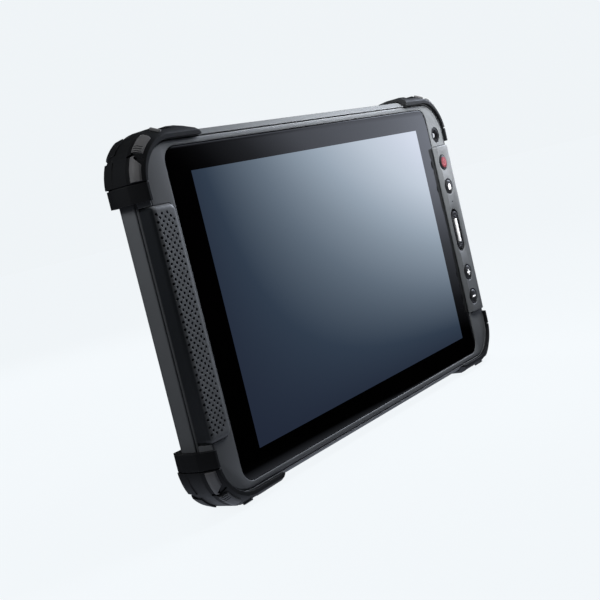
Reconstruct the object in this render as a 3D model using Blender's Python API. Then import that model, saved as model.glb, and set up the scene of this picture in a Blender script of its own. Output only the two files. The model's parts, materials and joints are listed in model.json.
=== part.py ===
"""Rugged eight-inch field data collector, standing upright in landscape.

Metres, +Z up, screen facing -Y, origin on the floor under the middle of the case.
Depths are counted from the face of the glass towards the back.
"""
import bpy
import bmesh
from math import cos, sin, pi
from mathutils import Vector

MM = 0.001
GAP = 0.3 * MM                    # room left between two neighbouring pieces

# screen
DISPLAY_W = 172.3 * MM            # lit area, eight inches across the diagonal at 16:10
DISPLAY_H = 107.7 * MM
GLASS_SIDE = 12.45 * MM           # black border of the glass beyond the lit area
GLASS_EDGE = 9.75 * MM
GLASS_R = 6.0 * MM
GLASS_T = 1.1 * MM
GLASS_SINK = 0.1 * MM
SEAL_T = 0.4 * MM
SEAL_W = 2.4 * MM
PANEL_BORDER = 4.6 * MM           # metal rim of the display module beyond the lit area
PANEL_T = 3.4 * MM
SCREEN_SHIFT = -0.9 * MM          # the screen sits a little left of the middle

# case
SIDE_BAND = 15.0 * MM             # case beyond the glass, left and right
EDGE_BAND = 5.8 * MM              # case beyond the glass, above and below
BODY_R = 17.5 * MM
BODY_T = 17.4 * MM                # glass face to back face
SLOPE_SIDE = 1.95 * MM            # sloped rim outside the bezel
SLOPE_EDGE = 3.2 * MM
SLOPE_DEPTH = 4.0 * MM
BEZEL_T = 1.8 * MM
FRONT_T = 5.6 * MM                # depth of the front housing
GROOVE = 1.7 * MM                 # open seam between the two housings
GROOVE_DEPTH = 0.9 * MM
BACK_R = 5.0 * MM                 # rounding along the back edges
WALL = 2.2 * MM
FRAME_T = 1.2 * MM

# raised side panels
RAISE = 1.2 * MM
SIDE_LENGTH = 88.0 * MM
GRILLE_INSET = 1.2 * MM           # glass edge to grille cover
GRILLE_SHOULDER = 2.0 * MM        # rounded rise from the bezel to the cover's face
KEYS_INSET = 0.9 * MM             # glass edge to key panel
KEYS_SHOULDER = 0.7 * MM
SIDE_ROUND = 0.9 * MM             # rounding where the face turns down the case side
SIDE_CORNER = 3.2 * MM
SIDE_SKIN = 1.8 * MM             # front and outer walls of a side panel
SIDE_WALL = 1.2 * MM             # its wall beside the glass and at its ends
SPEAKER_L = 34.0 * MM
SPEAKER_T = 3.0 * MM
SPEAKER_UP = 21.0 * MM

# keys
KEY_D = 7.3 * MM
KEY_FLANGE = 1.0 * MM             # added to the diameter behind the panel
KEY_PROUD = 0.3 * MM
KEY_TRAVEL = 0.45 * MM
KEY_FROM_SIDE = 9.3 * MM          # middle of the keys in from the case side
POWER_UP = 35.4 * MM
HOME_UP = 22.6 * MM
PLUS_UP = -23.1 * MM
MINUS_UP = -36.0 * MM
SWIPE_UP = -0.4 * MM
SWIPE_L = 19.6 * MM
SWIPE_W = 7.5 * MM
SWIPE_STRIP_L = 12.2 * MM
SWIPE_STRIP_W = 1.3 * MM
MEMBRANE_T = 0.5 * MM
KEY_BOARD_T = 0.8 * MM

# cameras
CAMERA_UP = 50.0 * MM
CAMERA_D = 7.7 * MM
CAMERA_LENS_D = 3.4 * MM
REAR_CAMERA = (-78.0 * MM, 50.0 * MM)
REAR_WINDOW_D = 10.0 * MM
FLASH_OFFSET = 13.0 * MM
FLASH_D = 4.4 * MM

# battery and its latches
PACK_W = 118.0 * MM
PACK_H = 60.0 * MM
PACK_T = 8.2 * MM
PACK_DROP = 22.0 * MM             # middle of the pack below the middle of the case
BAY_WALL = 1.4 * MM
LATCH_X = 40.0 * MM
LATCH_W = 18.0 * MM
LATCH_H = 8.4 * MM
LATCH_T = 2.8 * MM
LATCH_TRAVEL = 4.0 * MM
TONGUE_W = 8.0 * MM
TONGUE_T = 1.2 * MM
TONGUE_BITE = 1.8 * MM
BRIDGE = 2.7 * MM                 # wall between the bay and a latch pocket

# ports on the right-hand side
FLAP_L = 42.0 * MM
FLAP_H = 4.6 * MM
FLAP_T = 1.4 * MM
FLAP_PIN_D = 1.0 * MM
FLAP_DEPTH = 11.2 * MM            # middle of the flap behind the glass face
PORT_W = 9.0 * MM
PORT_H = 3.2 * MM
PORT_L = 7.0 * MM
PORT_PITCH = 13.0 * MM
JACK_D = 4.4 * MM
DOCK_W = 30.0 * MM
DOCK_H = 4.4 * MM
DOCK_T = 3.4 * MM

# boards
BOARD_W = 168.0 * MM
BOARD_T = 1.2 * MM
BOARD_TO_BAY = 1.3 * MM           # room between the board and the battery's tub
BOARD_TO_BOSS = 1.6 * MM          # room between the board and the upper screw bosses
SHIELD_W = 58.0 * MM
SHIELD_EDGE = 8.0 * MM            # board beyond the shield, above and below
SHIELD_T = 2.2 * MM
PATCH = 18.0 * MM                 # satellite receiver's ceramic patch
PATCH_T = 4.0 * MM
STRIP_W = 40.0 * MM
STRIP_H = 7.0 * MM
STRIP_T = 0.8 * MM
TERMINAL_W = 16.0 * MM
TERMINAL_H = 4.0 * MM

# bumpers
BUMPER_SIDE = 3.2 * MM            # rubber beyond the case, left and right
BUMPER_EDGE = 2.5 * MM            # rubber beyond the case, above and below
BUMPER_FRONT = 1.6 * MM
BUMPER_BACK = 1.5 * MM
BUMPER_CREASE = 5.0 * MM          # depth where the front chamfer meets the side
BUMPER_ARM_X = 35.5 * MM          # arm along the long edges, from the case side
BUMPER_ARM_Z = 23.4 * MM          # arm along the short edges, from the case top
BUMPER_TAPER = 6.0 * MM
LIP_X = 10.0 * MM                 # rubber lip lying on the back
LIP_Z = 8.0 * MM

# screws
SCREW_HEAD_D = 4.4 * MM
SCREW_HEAD_T = 1.2 * MM
SCREW_D = 2.2 * MM
BOSS_D = 6.0 * MM
SCREW_FROM_SIDE = 7.8 * MM
SCREW_FROM_EDGE = 7.8 * MM
SCREW_SIDE_UP = 38.0 * MM
SCREW_EDGE_ACROSS = 68.0 * MM

# worked out from the sizes above
GLASS_W = DISPLAY_W + 2 * GLASS_SIDE
GLASS_H = DISPLAY_H + 2 * GLASS_EDGE
BODY_W = GLASS_W + 2 * SIDE_BAND
BODY_H = GLASS_H + 2 * EDGE_BAND
HX = BODY_W / 2
HZ = BODY_H / 2
MID_Z = HZ + BUMPER_EDGE
FACE_Y = BUMPER_FRONT - (BUMPER_FRONT + BODY_T + BUMPER_BACK) / 2
REAR_FRONT = FRONT_T + GROOVE
BACK_ARC = BODY_T - BACK_R
GLASS_RIGHT = SCREEN_SHIFT + GLASS_W / 2
GLASS_LEFT = SCREEN_SHIFT - GLASS_W / 2
LEDGE = GLASS_SINK + GLASS_T + SEAL_T + 2 * GAP
KEY_LINE = HX - KEY_FROM_SIDE     # across from the middle of the case
BOARD_LOW = -PACK_DROP + PACK_H / 2 + GAP + BAY_WALL + BOARD_TO_BAY
BOARD_HIGH = HZ - SCREW_FROM_EDGE - BOSS_D / 2 - BOARD_TO_BOSS


def clear_scene():
    for obj in list(bpy.data.objects):
        bpy.data.objects.remove(obj, do_unlink=True)


def paint(obj, color, roughness=0.5, metallic=0.0):
    mat = bpy.data.materials.new(obj.name)
    mat.use_nodes = True
    shader = mat.node_tree.nodes["Principled BSDF"]
    shader.inputs["Base Color"].default_value = (*color, 1.0)
    shader.inputs["Roughness"].default_value = roughness
    shader.inputs["Metallic"].default_value = metallic
    mat.diffuse_color = (*color, 1.0)
    obj.data.materials.clear()
    obj.data.materials.append(mat)
    return obj


def outline(x0, x1, z0, z1, radii, steps=6):
    """Rectangle in the XZ plane with its own radius at each corner, from bottom left."""
    corners = [(x0, z0, pi), (x1, z0, 1.5 * pi), (x1, z1, 0.0), (x0, z1, 0.5 * pi)]
    points = []
    for (x, z, start), radius in zip(corners, radii):
        cx = x + radius if x == x0 else x - radius
        cz = z + radius if z == z0 else z - radius
        for i in range(steps + 1):
            angle = start + 0.5 * pi * i / steps
            points.append((cx + radius * cos(angle), cz + radius * sin(angle)))
    return points


def rounded(half_x, half_z, radius, cx=0.0, cz=None, steps=6):
    cz = MID_Z if cz is None else cz
    return outline(cx - half_x, cx + half_x, cz - half_z, cz + half_z, [radius] * 4, steps)


def loft(name, rings):
    """Closed solid through rings of equal length, each an XZ outline and a depth."""
    bm = bmesh.new()
    rows = [[bm.verts.new((x, FACE_Y + depth, z)) for x, z in ring] for ring, depth in rings]
    for near, far in zip(rows, rows[1:]):
        for i in range(len(near)):
            j = (i + 1) % len(near)
            bm.faces.new((near[i], near[j], far[j], far[i]))
    bm.faces.new(rows[0])
    bm.faces.new(rows[-1])
    bmesh.ops.remove_doubles(bm, verts=bm.verts, dist=1e-7)
    bmesh.ops.dissolve_degenerate(bm, edges=bm.edges, dist=1e-7)
    bmesh.ops.recalc_face_normals(bm, faces=bm.faces)
    mesh = bpy.data.meshes.new(name)
    bm.to_mesh(mesh)
    bm.free()
    obj = bpy.data.objects.new(name, mesh)
    bpy.context.collection.objects.link(obj)
    return obj


def plate(name, ring, near, far):
    return loft(name, [(ring, near), (ring, far)])


def block(name, x0, x1, z0, z1, near, far):
    return plate(name, [(x0, z0), (x1, z0), (x1, z1), (x0, z1)], near, far)


def disc_ring(x, z, radius, steps=32):
    return [(x + radius * cos(2 * pi * i / steps), z + radius * sin(2 * pi * i / steps))
            for i in range(steps)]


def disc(name, x, z, radius, near, far, steps=32):
    return plate(name, disc_ring(x, z, radius, steps), near, far)


def rod(name, radius, start, end, steps=24):
    """Cylinder between two world points."""
    start = Vector(start)
    end = Vector(end)
    bm = bmesh.new()
    bmesh.ops.create_cone(bm, cap_ends=True, segments=steps, radius1=radius, radius2=radius,
                          depth=(end - start).length)
    turn = Vector((0, 0, 1)).rotation_difference(end - start).to_matrix()
    bmesh.ops.rotate(bm, verts=bm.verts, matrix=turn)
    bmesh.ops.translate(bm, verts=bm.verts, vec=(start + end) / 2)
    mesh = bpy.data.meshes.new(name)
    bm.to_mesh(mesh)
    bm.free()
    obj = bpy.data.objects.new(name, mesh)
    bpy.context.collection.objects.link(obj)
    return obj


def combine(target, tool, operation="DIFFERENCE"):
    """Boolean the tool into the target and drop the tool."""
    mod = target.modifiers.new("combine", "BOOLEAN")
    mod.operation = operation
    mod.solver = "EXACT"
    mod.object = tool
    graph = bpy.context.evaluated_depsgraph_get()
    mesh = bpy.data.meshes.new_from_object(target.evaluated_get(graph))
    target.modifiers.clear()
    target.data = mesh
    bpy.data.objects.remove(tool, do_unlink=True)
    return target


def move_origin(obj, point):
    shift = Vector(point) - obj.location
    for vert in obj.data.vertices:
        vert.co -= shift
    obj.location = obj.location + shift
    return obj


def smooth(obj, angle=35.0):
    for poly in obj.data.polygons:
        poly.use_smooth = True
    obj.data.set_sharp_from_angle(angle=angle * pi / 180)


# outlines that several pieces share
def glass_ring(grow=0.0):
    return rounded(GLASS_W / 2 + grow, GLASS_H / 2 + grow, GLASS_R + grow, SCREEN_SHIFT)


def panel_ring(grow=0.0):
    half_x = DISPLAY_W / 2 + PANEL_BORDER + grow
    half_z = DISPLAY_H / 2 + PANEL_BORDER + grow
    return rounded(half_x, half_z, 1.5 * MM, SCREEN_SHIFT)


def body_ring(grow=0.0, steps=8):
    return rounded(HX + grow, HZ + grow, BODY_R + grow, steps=steps)


def bezel_ring(grow=0.0, steps=8):
    half_x = HX - SLOPE_SIDE + grow
    half_z = HZ - SLOPE_EDGE + grow
    return rounded(half_x, half_z, BODY_R - SLOPE_SIDE + grow, steps=steps)


def back_rings(grow, steps=6):
    """Rings that round the back edges over, with the surface moved out by grow."""
    rings = []
    for i in range(steps + 1):
        angle = 0.5 * pi * i / steps
        inset = BACK_R - (BACK_R + grow) * cos(angle)
        rings.append((body_ring(-inset), BACK_ARC + (BACK_R + grow) * sin(angle)))
    return rings


def side_panel_ring(inner, outer, half, radius):
    """Outline of a raised side panel: rounded towards the glass, square at the case side."""
    radii = [0.0, radius, radius, 0.0] if inner > outer else [radius, 0.0, 0.0, radius]
    return outline(min(inner, outer), max(inner, outer), MID_Z - half, MID_Z + half, radii)


def side_panel(name, inner, shoulder, side):
    """Raised cover beside the glass that wraps the case side down to the seam."""
    half = SIDE_LENGTH / 2
    rings = [
        (side_panel_ring(inner + side * shoulder, side * (HX - SIDE_ROUND), half - 0.8 * MM,
                         SIDE_CORNER), -RAISE),
        (side_panel_ring(inner + side * 0.3 * shoulder, side * (HX - 0.3 * SIDE_ROUND),
                         half - 0.25 * MM, SIDE_CORNER), -0.6 * RAISE),
        (side_panel_ring(inner, side * HX, half, SIDE_CORNER), 0.0),
        (side_panel_ring(inner, side * HX, half, SIDE_CORNER), FRONT_T - GAP),
    ]
    panel = loft(name, rings)
    low = inner + side * SIDE_WALL
    high = side * (HX - SIDE_SKIN)
    pocket = block("pocket", min(low, high), max(low, high), MID_Z - half + SIDE_WALL,
                   MID_Z + half - SIDE_WALL, SIDE_SKIN - RAISE, FRONT_T + GAP)
    return combine(panel, pocket)


def notch(inner, side):
    """Cutter that lets a side panel into the housing."""
    outer = side * (HX + 5 * MM)
    start = inner - side * GAP
    half = SIDE_LENGTH / 2 + GAP
    ring = side_panel_ring(start, outer, half, SIDE_CORNER + GAP)
    return plate("notch", ring, -10 * MM, FRONT_T + 5 * MM)


GRILLE_X = GLASS_LEFT - GRILLE_INSET
KEYS_X = GLASS_RIGHT + KEYS_INSET
KEY_BACK = SIDE_SKIN - RAISE
MEMBRANE_NEAR = KEY_BACK + GAP + 0.7 * MM + KEY_TRAVEL + GAP
BOARD_NEAR = REAR_FRONT + GAP
SCREW_SPOTS = [
    (side * (HX - SCREW_FROM_SIDE), MID_Z + up * SCREW_SIDE_UP)
    for side in (-1, 1) for up in (-1, 1)
] + [
    (side * SCREW_EDGE_ACROSS, MID_Z + up * (HZ - SCREW_FROM_EDGE))
    for side in (-1, 1) for up in (-1, 1)
]
PACK_Z = MID_Z - PACK_DROP
PACK_NEAR = BODY_T - PACK_T
LATCH_Z = PACK_Z + PACK_H / 2 + GAP + BRIDGE + GAP
FLAP_X = HX - 1.0 * MM
FLAP_PIN_Z = MID_Z - FLAP_L / 2


def build_screen():
    glass = plate("touch_glass", glass_ring(), GLASS_SINK, GLASS_SINK + GLASS_T)
    paint(glass, (0.01, 0.01, 0.012), 0.06)

    near = GLASS_SINK + GLASS_T + GAP
    seal = plate("glass_seal", glass_ring(-0.4 * MM), near, near + SEAL_T)
    combine(seal, plate("cut", glass_ring(-0.4 * MM - SEAL_W), near - MM, near + SEAL_T + MM))
    paint(seal, (0.03, 0.03, 0.03), 0.8)

    panel = plate("display_panel", panel_ring(), near, near + PANEL_T)
    paint(panel, (0.08, 0.1, 0.14), 0.3)


def build_front():
    housing = loft("front_housing", [
        (bezel_ring(0.6 * MM), 0.0),
        (body_ring(), SLOPE_DEPTH),
        (body_ring(), FRONT_T - 0.25 * MM),
        (body_ring(-0.3 * MM), FRONT_T),
    ])
    combine(housing, plate("cut", bezel_ring(GAP), -5 * MM, LEDGE))
    combine(housing, plate("cut", panel_ring(GAP), -5 * MM, FRONT_T + 5 * MM))
    combine(housing, notch(GRILLE_X, -1))
    combine(housing, notch(KEYS_X, 1))
    combine(housing, disc("cut", KEY_LINE, MID_Z + CAMERA_UP, CAMERA_D / 2 - MM,
                          0.0, FRONT_T + MM))
    paint(housing, (0.06, 0.065, 0.07), 0.5)
    smooth(housing)

    bezel = plate("front_bezel", bezel_ring(), 0.0, BEZEL_T)
    combine(bezel, plate("cut", glass_ring(GAP), -5 * MM, 5 * MM))
    combine(bezel, notch(GRILLE_X, -1))
    start = GLASS_RIGHT
    ring = side_panel_ring(start, HX + 5 * MM, SIDE_LENGTH / 2 + GAP, SIDE_CORNER + GAP)
    combine(bezel, plate("cut", ring, -5 * MM, 5 * MM))
    combine(bezel, disc("cut", KEY_LINE, MID_Z + CAMERA_UP, CAMERA_D / 2 + GAP,
                        -5 * MM, 5 * MM))
    paint(bezel, (0.09, 0.095, 0.1), 0.5)
    smooth(bezel)


def build_front_camera():
    x = KEY_LINE
    z = MID_Z + CAMERA_UP
    radius = CAMERA_D / 2
    lens = CAMERA_LENS_D / 2
    ring = loft("front_camera_ring", [
        (disc_ring(x, z, radius), 0.1 * MM),
        (disc_ring(x, z, radius), BEZEL_T),
    ])
    combine(ring, loft("cut", [
        (disc_ring(x, z, radius - 0.3 * MM), 0.0),
        (disc_ring(x, z, lens + GAP), 1.3 * MM),
        (disc_ring(x, z, lens + GAP), 3 * MM),
    ]))
    paint(ring, (0.01, 0.01, 0.01), 0.35)
    smooth(ring)
    window = disc("front_camera_lens", x, z, lens, 1.35 * MM, 1.85 * MM)
    paint(window, (0.2, 0.22, 0.25), 0.1)
    module = disc("front_camera", x, z, radius - MM - GAP, 1.85 * MM + GAP, FRONT_T - 0.2 * MM)
    paint(module, (0.03, 0.03, 0.03), 0.5)


def build_grille():
    cover = side_panel("speaker_grille", GRILLE_X, GRILLE_SHOULDER, -1)
    paint(cover, (0.07, 0.075, 0.08), 0.55)
    smooth(cover)
    near = SIDE_SKIN - RAISE + GAP
    x0 = -HX + SIDE_SKIN + GAP
    x1 = GRILLE_X - SIDE_WALL - GAP
    for name, up in (("upper_speaker", 1), ("lower_speaker", -1)):
        z = MID_Z + up * SPEAKER_UP
        driver = block(name, x0, x1, z - SPEAKER_L / 2, z + SPEAKER_L / 2, near, near + SPEAKER_T)
        paint(driver, (0.02, 0.02, 0.02), 0.6)


def swipe_ring(grow):
    half_x = SWIPE_W / 2 + grow
    half_z = SWIPE_L / 2 + grow
    return rounded(half_x, half_z, half_x, KEY_LINE, MID_Z + SWIPE_UP)


def build_keys():
    keys = [
        ("power_key", POWER_UP, (0.45, 0.03, 0.05)),
        ("home_key", HOME_UP, (0.02, 0.02, 0.02)),
        ("volume_up_key", PLUS_UP, (0.02, 0.02, 0.02)),
        ("volume_down_key", MINUS_UP, (0.02, 0.02, 0.02)),
    ]
    panel = side_panel("key_panel", KEYS_X, KEYS_SHOULDER, 1)
    for name, up, color in keys:
        z = MID_Z + up
        combine(panel, disc("cut", KEY_LINE, z, KEY_D / 2 + GAP, -5 * MM, KEY_BACK + MM))
    combine(panel, plate("cut", swipe_ring(GAP), -5 * MM, KEY_BACK + MM))
    paint(panel, (0.07, 0.075, 0.08), 0.5)
    smooth(panel)

    flange = KEY_BACK + GAP
    for name, up, color in keys:
        z = MID_Z + up
        radius = KEY_D / 2
        wide = radius + KEY_FLANGE / 2
        key = loft(name, [
            (disc_ring(KEY_LINE, z, radius - 0.4 * MM), -RAISE - KEY_PROUD),
            (disc_ring(KEY_LINE, z, radius), -RAISE - KEY_PROUD + 0.3 * MM),
            (disc_ring(KEY_LINE, z, radius), flange),
            (disc_ring(KEY_LINE, z, wide), flange),
            (disc_ring(KEY_LINE, z, wide), flange + 0.7 * MM),
        ])
        paint(key, color, 0.4)
        smooth(key)
        move_origin(key, (KEY_LINE, FACE_Y - RAISE, z))

    sensor = plate("fingerprint_sensor", swipe_ring(0.0), -RAISE + 0.3 * MM, MEMBRANE_NEAR - GAP)
    half_x = SWIPE_STRIP_W / 2
    half_z = SWIPE_STRIP_L / 2
    z = MID_Z + SWIPE_UP
    deep = -RAISE + 1.1 * MM
    combine(sensor, block("cut", KEY_LINE - half_x - GAP, KEY_LINE + half_x + GAP,
                          z - half_z - GAP, z + half_z + GAP, -5 * MM, deep))
    paint(sensor, (0.012, 0.012, 0.012), 0.35)
    smooth(sensor)
    strip = block("fingerprint_strip", KEY_LINE - half_x, KEY_LINE + half_x, z - half_z,
                  z + half_z, -RAISE + 0.1 * MM, deep - 0.2 * MM)
    paint(strip, (0.7, 0.7, 0.7), 0.3, 0.9)

    low = KEYS_X + SIDE_WALL + GAP
    high = HX - SIDE_SKIN - GAP
    half = SIDE_LENGTH / 2 - SIDE_WALL - GAP
    near = MEMBRANE_NEAR
    membrane = block("key_membrane", low, high, MID_Z - half, MID_Z + half, near,
                     near + MEMBRANE_T)
    paint(membrane, (0.5, 0.5, 0.48), 0.7)
    near += MEMBRANE_T + 0.1 * MM
    board = block("key_board", low, high, MID_Z - half, MID_Z + half, near, near + KEY_BOARD_T)
    paint(board, (0.02, 0.16, 0.07), 0.5)


def build_middle():
    inner = 0.0 - GROOVE_DEPTH - 1.6 * MM
    near = FRONT_T + 0.2 * MM
    far = REAR_FRONT - 0.2 * MM
    seal = plate("housing_seal", body_ring(-GROOVE_DEPTH), near, far)
    combine(seal, plate("cut", body_ring(inner), near - MM, far + MM))
    paint(seal, (0.01, 0.01, 0.01), 0.8)
    smooth(seal)

    frame = plate("mid_frame", body_ring(inner - GAP), near, near + FRAME_T)
    paint(frame, (0.5, 0.5, 0.5), 0.4, 0.8)
    smooth(frame)


def build_rear():
    housing = loft("rear_housing", [
        (body_ring(-0.3 * MM), REAR_FRONT),
        (body_ring(), REAR_FRONT + 0.3 * MM),
    ] + back_rings(0.0))
    cavity = body_ring(-WALL)
    combine(housing, plate("cut", cavity, 0.0, BODY_T - WALL))

    # tub for the battery, and thicker wall behind its latches
    half_x = PACK_W / 2 + GAP + BAY_WALL
    z0 = PACK_Z - PACK_H / 2 - GAP - BAY_WALL
    z1 = PACK_Z + PACK_H / 2 + GAP + BAY_WALL
    floor = PACK_NEAR - GAP - BAY_WALL
    back = BODY_T - 0.5 * WALL
    combine(housing, block("tub", -half_x, half_x, z0, z1, floor, back), "UNION")
    latch_floor = BODY_T - LATCH_T - GAP - 0.2 * MM
    top = LATCH_Z + LATCH_H + LATCH_TRAVEL + GAP
    for side in (-1, 1):
        x = side * LATCH_X
        wide = LATCH_W / 2 + GAP + BAY_WALL
        combine(housing, block("pad", x - wide, x + wide, z1 - 0.5 * MM, top + BAY_WALL,
                               latch_floor - BAY_WALL, back), "UNION")
    # inner block that carries the ports
    deep = PORT_L + FLAP_T + 2 * GAP
    combine(housing, block("ports", HX - WALL - deep, HX - 0.5 * WALL,
                           MID_Z - FLAP_L / 2 - 3 * MM, MID_Z + FLAP_L / 2 + 3 * MM,
                           FLAP_DEPTH - FLAP_H / 2 - 1.4 * MM, FLAP_DEPTH + FLAP_H / 2 + 1.4 * MM),
            "UNION")
    for x, z in SCREW_SPOTS:
        combine(housing, disc("boss", x, z, BOSS_D / 2, REAR_FRONT + GAP, back), "UNION")

    for x, z in SCREW_SPOTS:
        combine(housing, disc("cut", x, z, SCREW_D / 2 + GAP, REAR_FRONT - MM, BODY_T + MM, 20))
        combine(housing, disc("cut", x, z, SCREW_HEAD_D / 2 + GAP,
                              BODY_T - SCREW_HEAD_T - 2 * GAP, BODY_T + MM, 20))
    half_x = PACK_W / 2 + GAP
    half_z = PACK_H / 2 + GAP
    combine(housing, block("cut", -half_x, half_x, PACK_Z - half_z, PACK_Z + half_z,
                           PACK_NEAR - GAP, BODY_T + MM))
    for side in (-1, 1):
        x = side * LATCH_X
        wide = LATCH_W / 2 + GAP
        combine(housing, block("cut", x - wide, x + wide, LATCH_Z - GAP, top, latch_floor,
                               BODY_T + MM))
        slot = TONGUE_W / 2 + GAP
        combine(housing, block("cut", x - slot, x + slot, PACK_Z + PACK_H / 2 - MM,
                               LATCH_Z + MM, latch_floor, latch_floor + TONGUE_T + 2 * GAP))
    half_x = TERMINAL_W / 2 + GAP
    z0 = PACK_Z - TERMINAL_H / 2 - GAP
    z1 = PACK_Z + TERMINAL_H / 2 + GAP
    combine(housing, block("cut", -half_x, half_x, z0, z1, floor - MM, PACK_NEAR))

    # rear camera window and lamp
    x, up = REAR_CAMERA
    z = MID_Z + up
    combine(housing, disc("cut", x, z, REAR_WINDOW_D / 2 + GAP, BODY_T - 1.0 * MM - GAP,
                          BODY_T + MM))
    combine(housing, disc("cut", x, z, REAR_WINDOW_D / 2 - MM, BACK_ARC - MM, BODY_T + MM))
    combine(housing, disc("cut", x + FLASH_OFFSET, z, FLASH_D / 2 + GAP, BACK_ARC - MM,
                          BODY_T + MM, 24))

    # flap pocket, port holes and pin hole on the right-hand side
    pocket_x = HX - FLAP_T - 2 * GAP
    d0 = FLAP_DEPTH - FLAP_H / 2
    d1 = FLAP_DEPTH + FLAP_H / 2
    combine(housing, block("cut", pocket_x, HX + MM, FLAP_PIN_Z, FLAP_PIN_Z + FLAP_L, d0, d1))
    relief = rod("cut", 1.7 * MM, (FLAP_X, FACE_Y + d0, FLAP_PIN_Z), (FLAP_X, FACE_Y + d1,
                                                                   FLAP_PIN_Z))
    combine(housing, relief)
    combine(housing, block("cut", FLAP_X, HX + MM, FLAP_PIN_Z - 1.7 * MM, FLAP_PIN_Z, d0, d1))
    combine(housing, rod("cut", FLAP_PIN_D / 2 + 0.15 * MM,
                         (FLAP_X, FACE_Y + d0 - 0.9 * MM, FLAP_PIN_Z),
                         (FLAP_X, FACE_Y + d1 + 0.9 * MM, FLAP_PIN_Z)))
    for step in (0, 1):
        z = MID_Z - 5.0 * MM + step * PORT_PITCH
        ring = rounded(PORT_W / 2 + GAP, PORT_H / 2 + GAP, PORT_H / 2, 0.0, 0.0)
        combine(housing, side_hole("cut", ring, z, pocket_x - PORT_L - GAP - 2 * MM, pocket_x + MM))
    z = MID_Z - 5.0 * MM - PORT_PITCH * 0.75
    combine(housing, rod("cut", JACK_D / 2 + GAP,
                         (pocket_x - PORT_L - 3 * MM, FACE_Y + FLAP_DEPTH, z),
                         (pocket_x + MM, FACE_Y + FLAP_DEPTH, z)))

    # slot for the dock connector in the lower edge
    combine(housing, block("cut", -DOCK_W / 2 - GAP, DOCK_W / 2 + GAP, MID_Z - HZ - MM,
                           MID_Z - HZ + DOCK_T + MM,
                           FLAP_DEPTH - DOCK_H / 2 - GAP, FLAP_DEPTH + DOCK_H / 2 + GAP))
    paint(housing, (0.055, 0.06, 0.065), 0.55)
    smooth(housing)


def side_hole(name, ring, z, x0, x1):
    """Rounded bar along X whose section, long way up the case, is the given outline."""
    bar = loft(name, [(ring, x0), (ring, x1)])
    for vert in bar.data.vertices:
        across, along, high = vert.co
        vert.co = (along - FACE_Y, FACE_Y + FLAP_DEPTH + high, z + across)
    bm = bmesh.new()
    bm.from_mesh(bar.data)
    bmesh.ops.recalc_face_normals(bm, faces=bm.faces)
    bm.to_mesh(bar.data)
    bm.free()
    return bar


def build_ports():
    pocket_x = HX - FLAP_T - 2 * GAP
    for step, name in enumerate(("lower_usb_port", "upper_usb_port")):
        z = MID_Z - 5.0 * MM + step * PORT_PITCH
        ring = rounded(PORT_W / 2, PORT_H / 2, PORT_H / 2, 0.0, 0.0)
        port = side_hole(name, ring, z, pocket_x - PORT_L, pocket_x - GAP)
        inner = rounded(PORT_W / 2 - 0.4 * MM, PORT_H / 2 - 0.4 * MM, PORT_H / 2 - 0.4 * MM,
                        0.0, 0.0)
        combine(port, side_hole("cut", inner, z, pocket_x - PORT_L + MM, pocket_x + MM))
        paint(port, (0.6, 0.6, 0.6), 0.3, 0.9)
        smooth(port)
    z = MID_Z - 5.0 * MM - PORT_PITCH * 0.75
    y = FACE_Y + FLAP_DEPTH
    jack = rod("headset_jack", JACK_D / 2, (pocket_x - PORT_L, y, z), (pocket_x - GAP, y, z))
    combine(jack, rod("cut", 1.75 * MM, (pocket_x - PORT_L + MM, y, z), (pocket_x + MM, y, z)))
    paint(jack, (0.02, 0.02, 0.02), 0.4)
    smooth(jack)

    d0 = FLAP_DEPTH - FLAP_H / 2 + GAP
    d1 = FLAP_DEPTH + FLAP_H / 2 - GAP
    flap = block("port_cover", HX - FLAP_T - 0.1 * MM, HX - 0.1 * MM, FLAP_PIN_Z,
                 FLAP_PIN_Z + FLAP_L - GAP, d0, d1)
    combine(flap, rod("knuckle", 1.2 * MM, (FLAP_X, FACE_Y + d0, FLAP_PIN_Z),
                      (FLAP_X, FACE_Y + d1, FLAP_PIN_Z)), "UNION")
    combine(flap, rod("cut", FLAP_PIN_D / 2 + 0.15 * MM, (FLAP_X, FACE_Y, FLAP_PIN_Z),
                      (FLAP_X, FACE_Y + BODY_T, FLAP_PIN_Z)))
    paint(flap, (0.02, 0.02, 0.02), 0.7)
    smooth(flap)
    move_origin(flap, (FLAP_X, FACE_Y + FLAP_DEPTH, FLAP_PIN_Z))
    pin = rod("port_cover_pin", FLAP_PIN_D / 2, (FLAP_X, FACE_Y + d0 - 1.0 * MM, FLAP_PIN_Z),
              (FLAP_X, FACE_Y + d1 + 1.0 * MM, FLAP_PIN_Z))
    paint(pin, (0.6, 0.6, 0.6), 0.3, 0.9)
    smooth(pin)

    dock = block("dock_connector", -DOCK_W / 2, DOCK_W / 2, MID_Z - HZ + 0.6 * MM,
                 MID_Z - HZ + DOCK_T, FLAP_DEPTH - DOCK_H / 2, FLAP_DEPTH + DOCK_H / 2)
    paint(dock, (0.02, 0.02, 0.02), 0.4)


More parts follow.
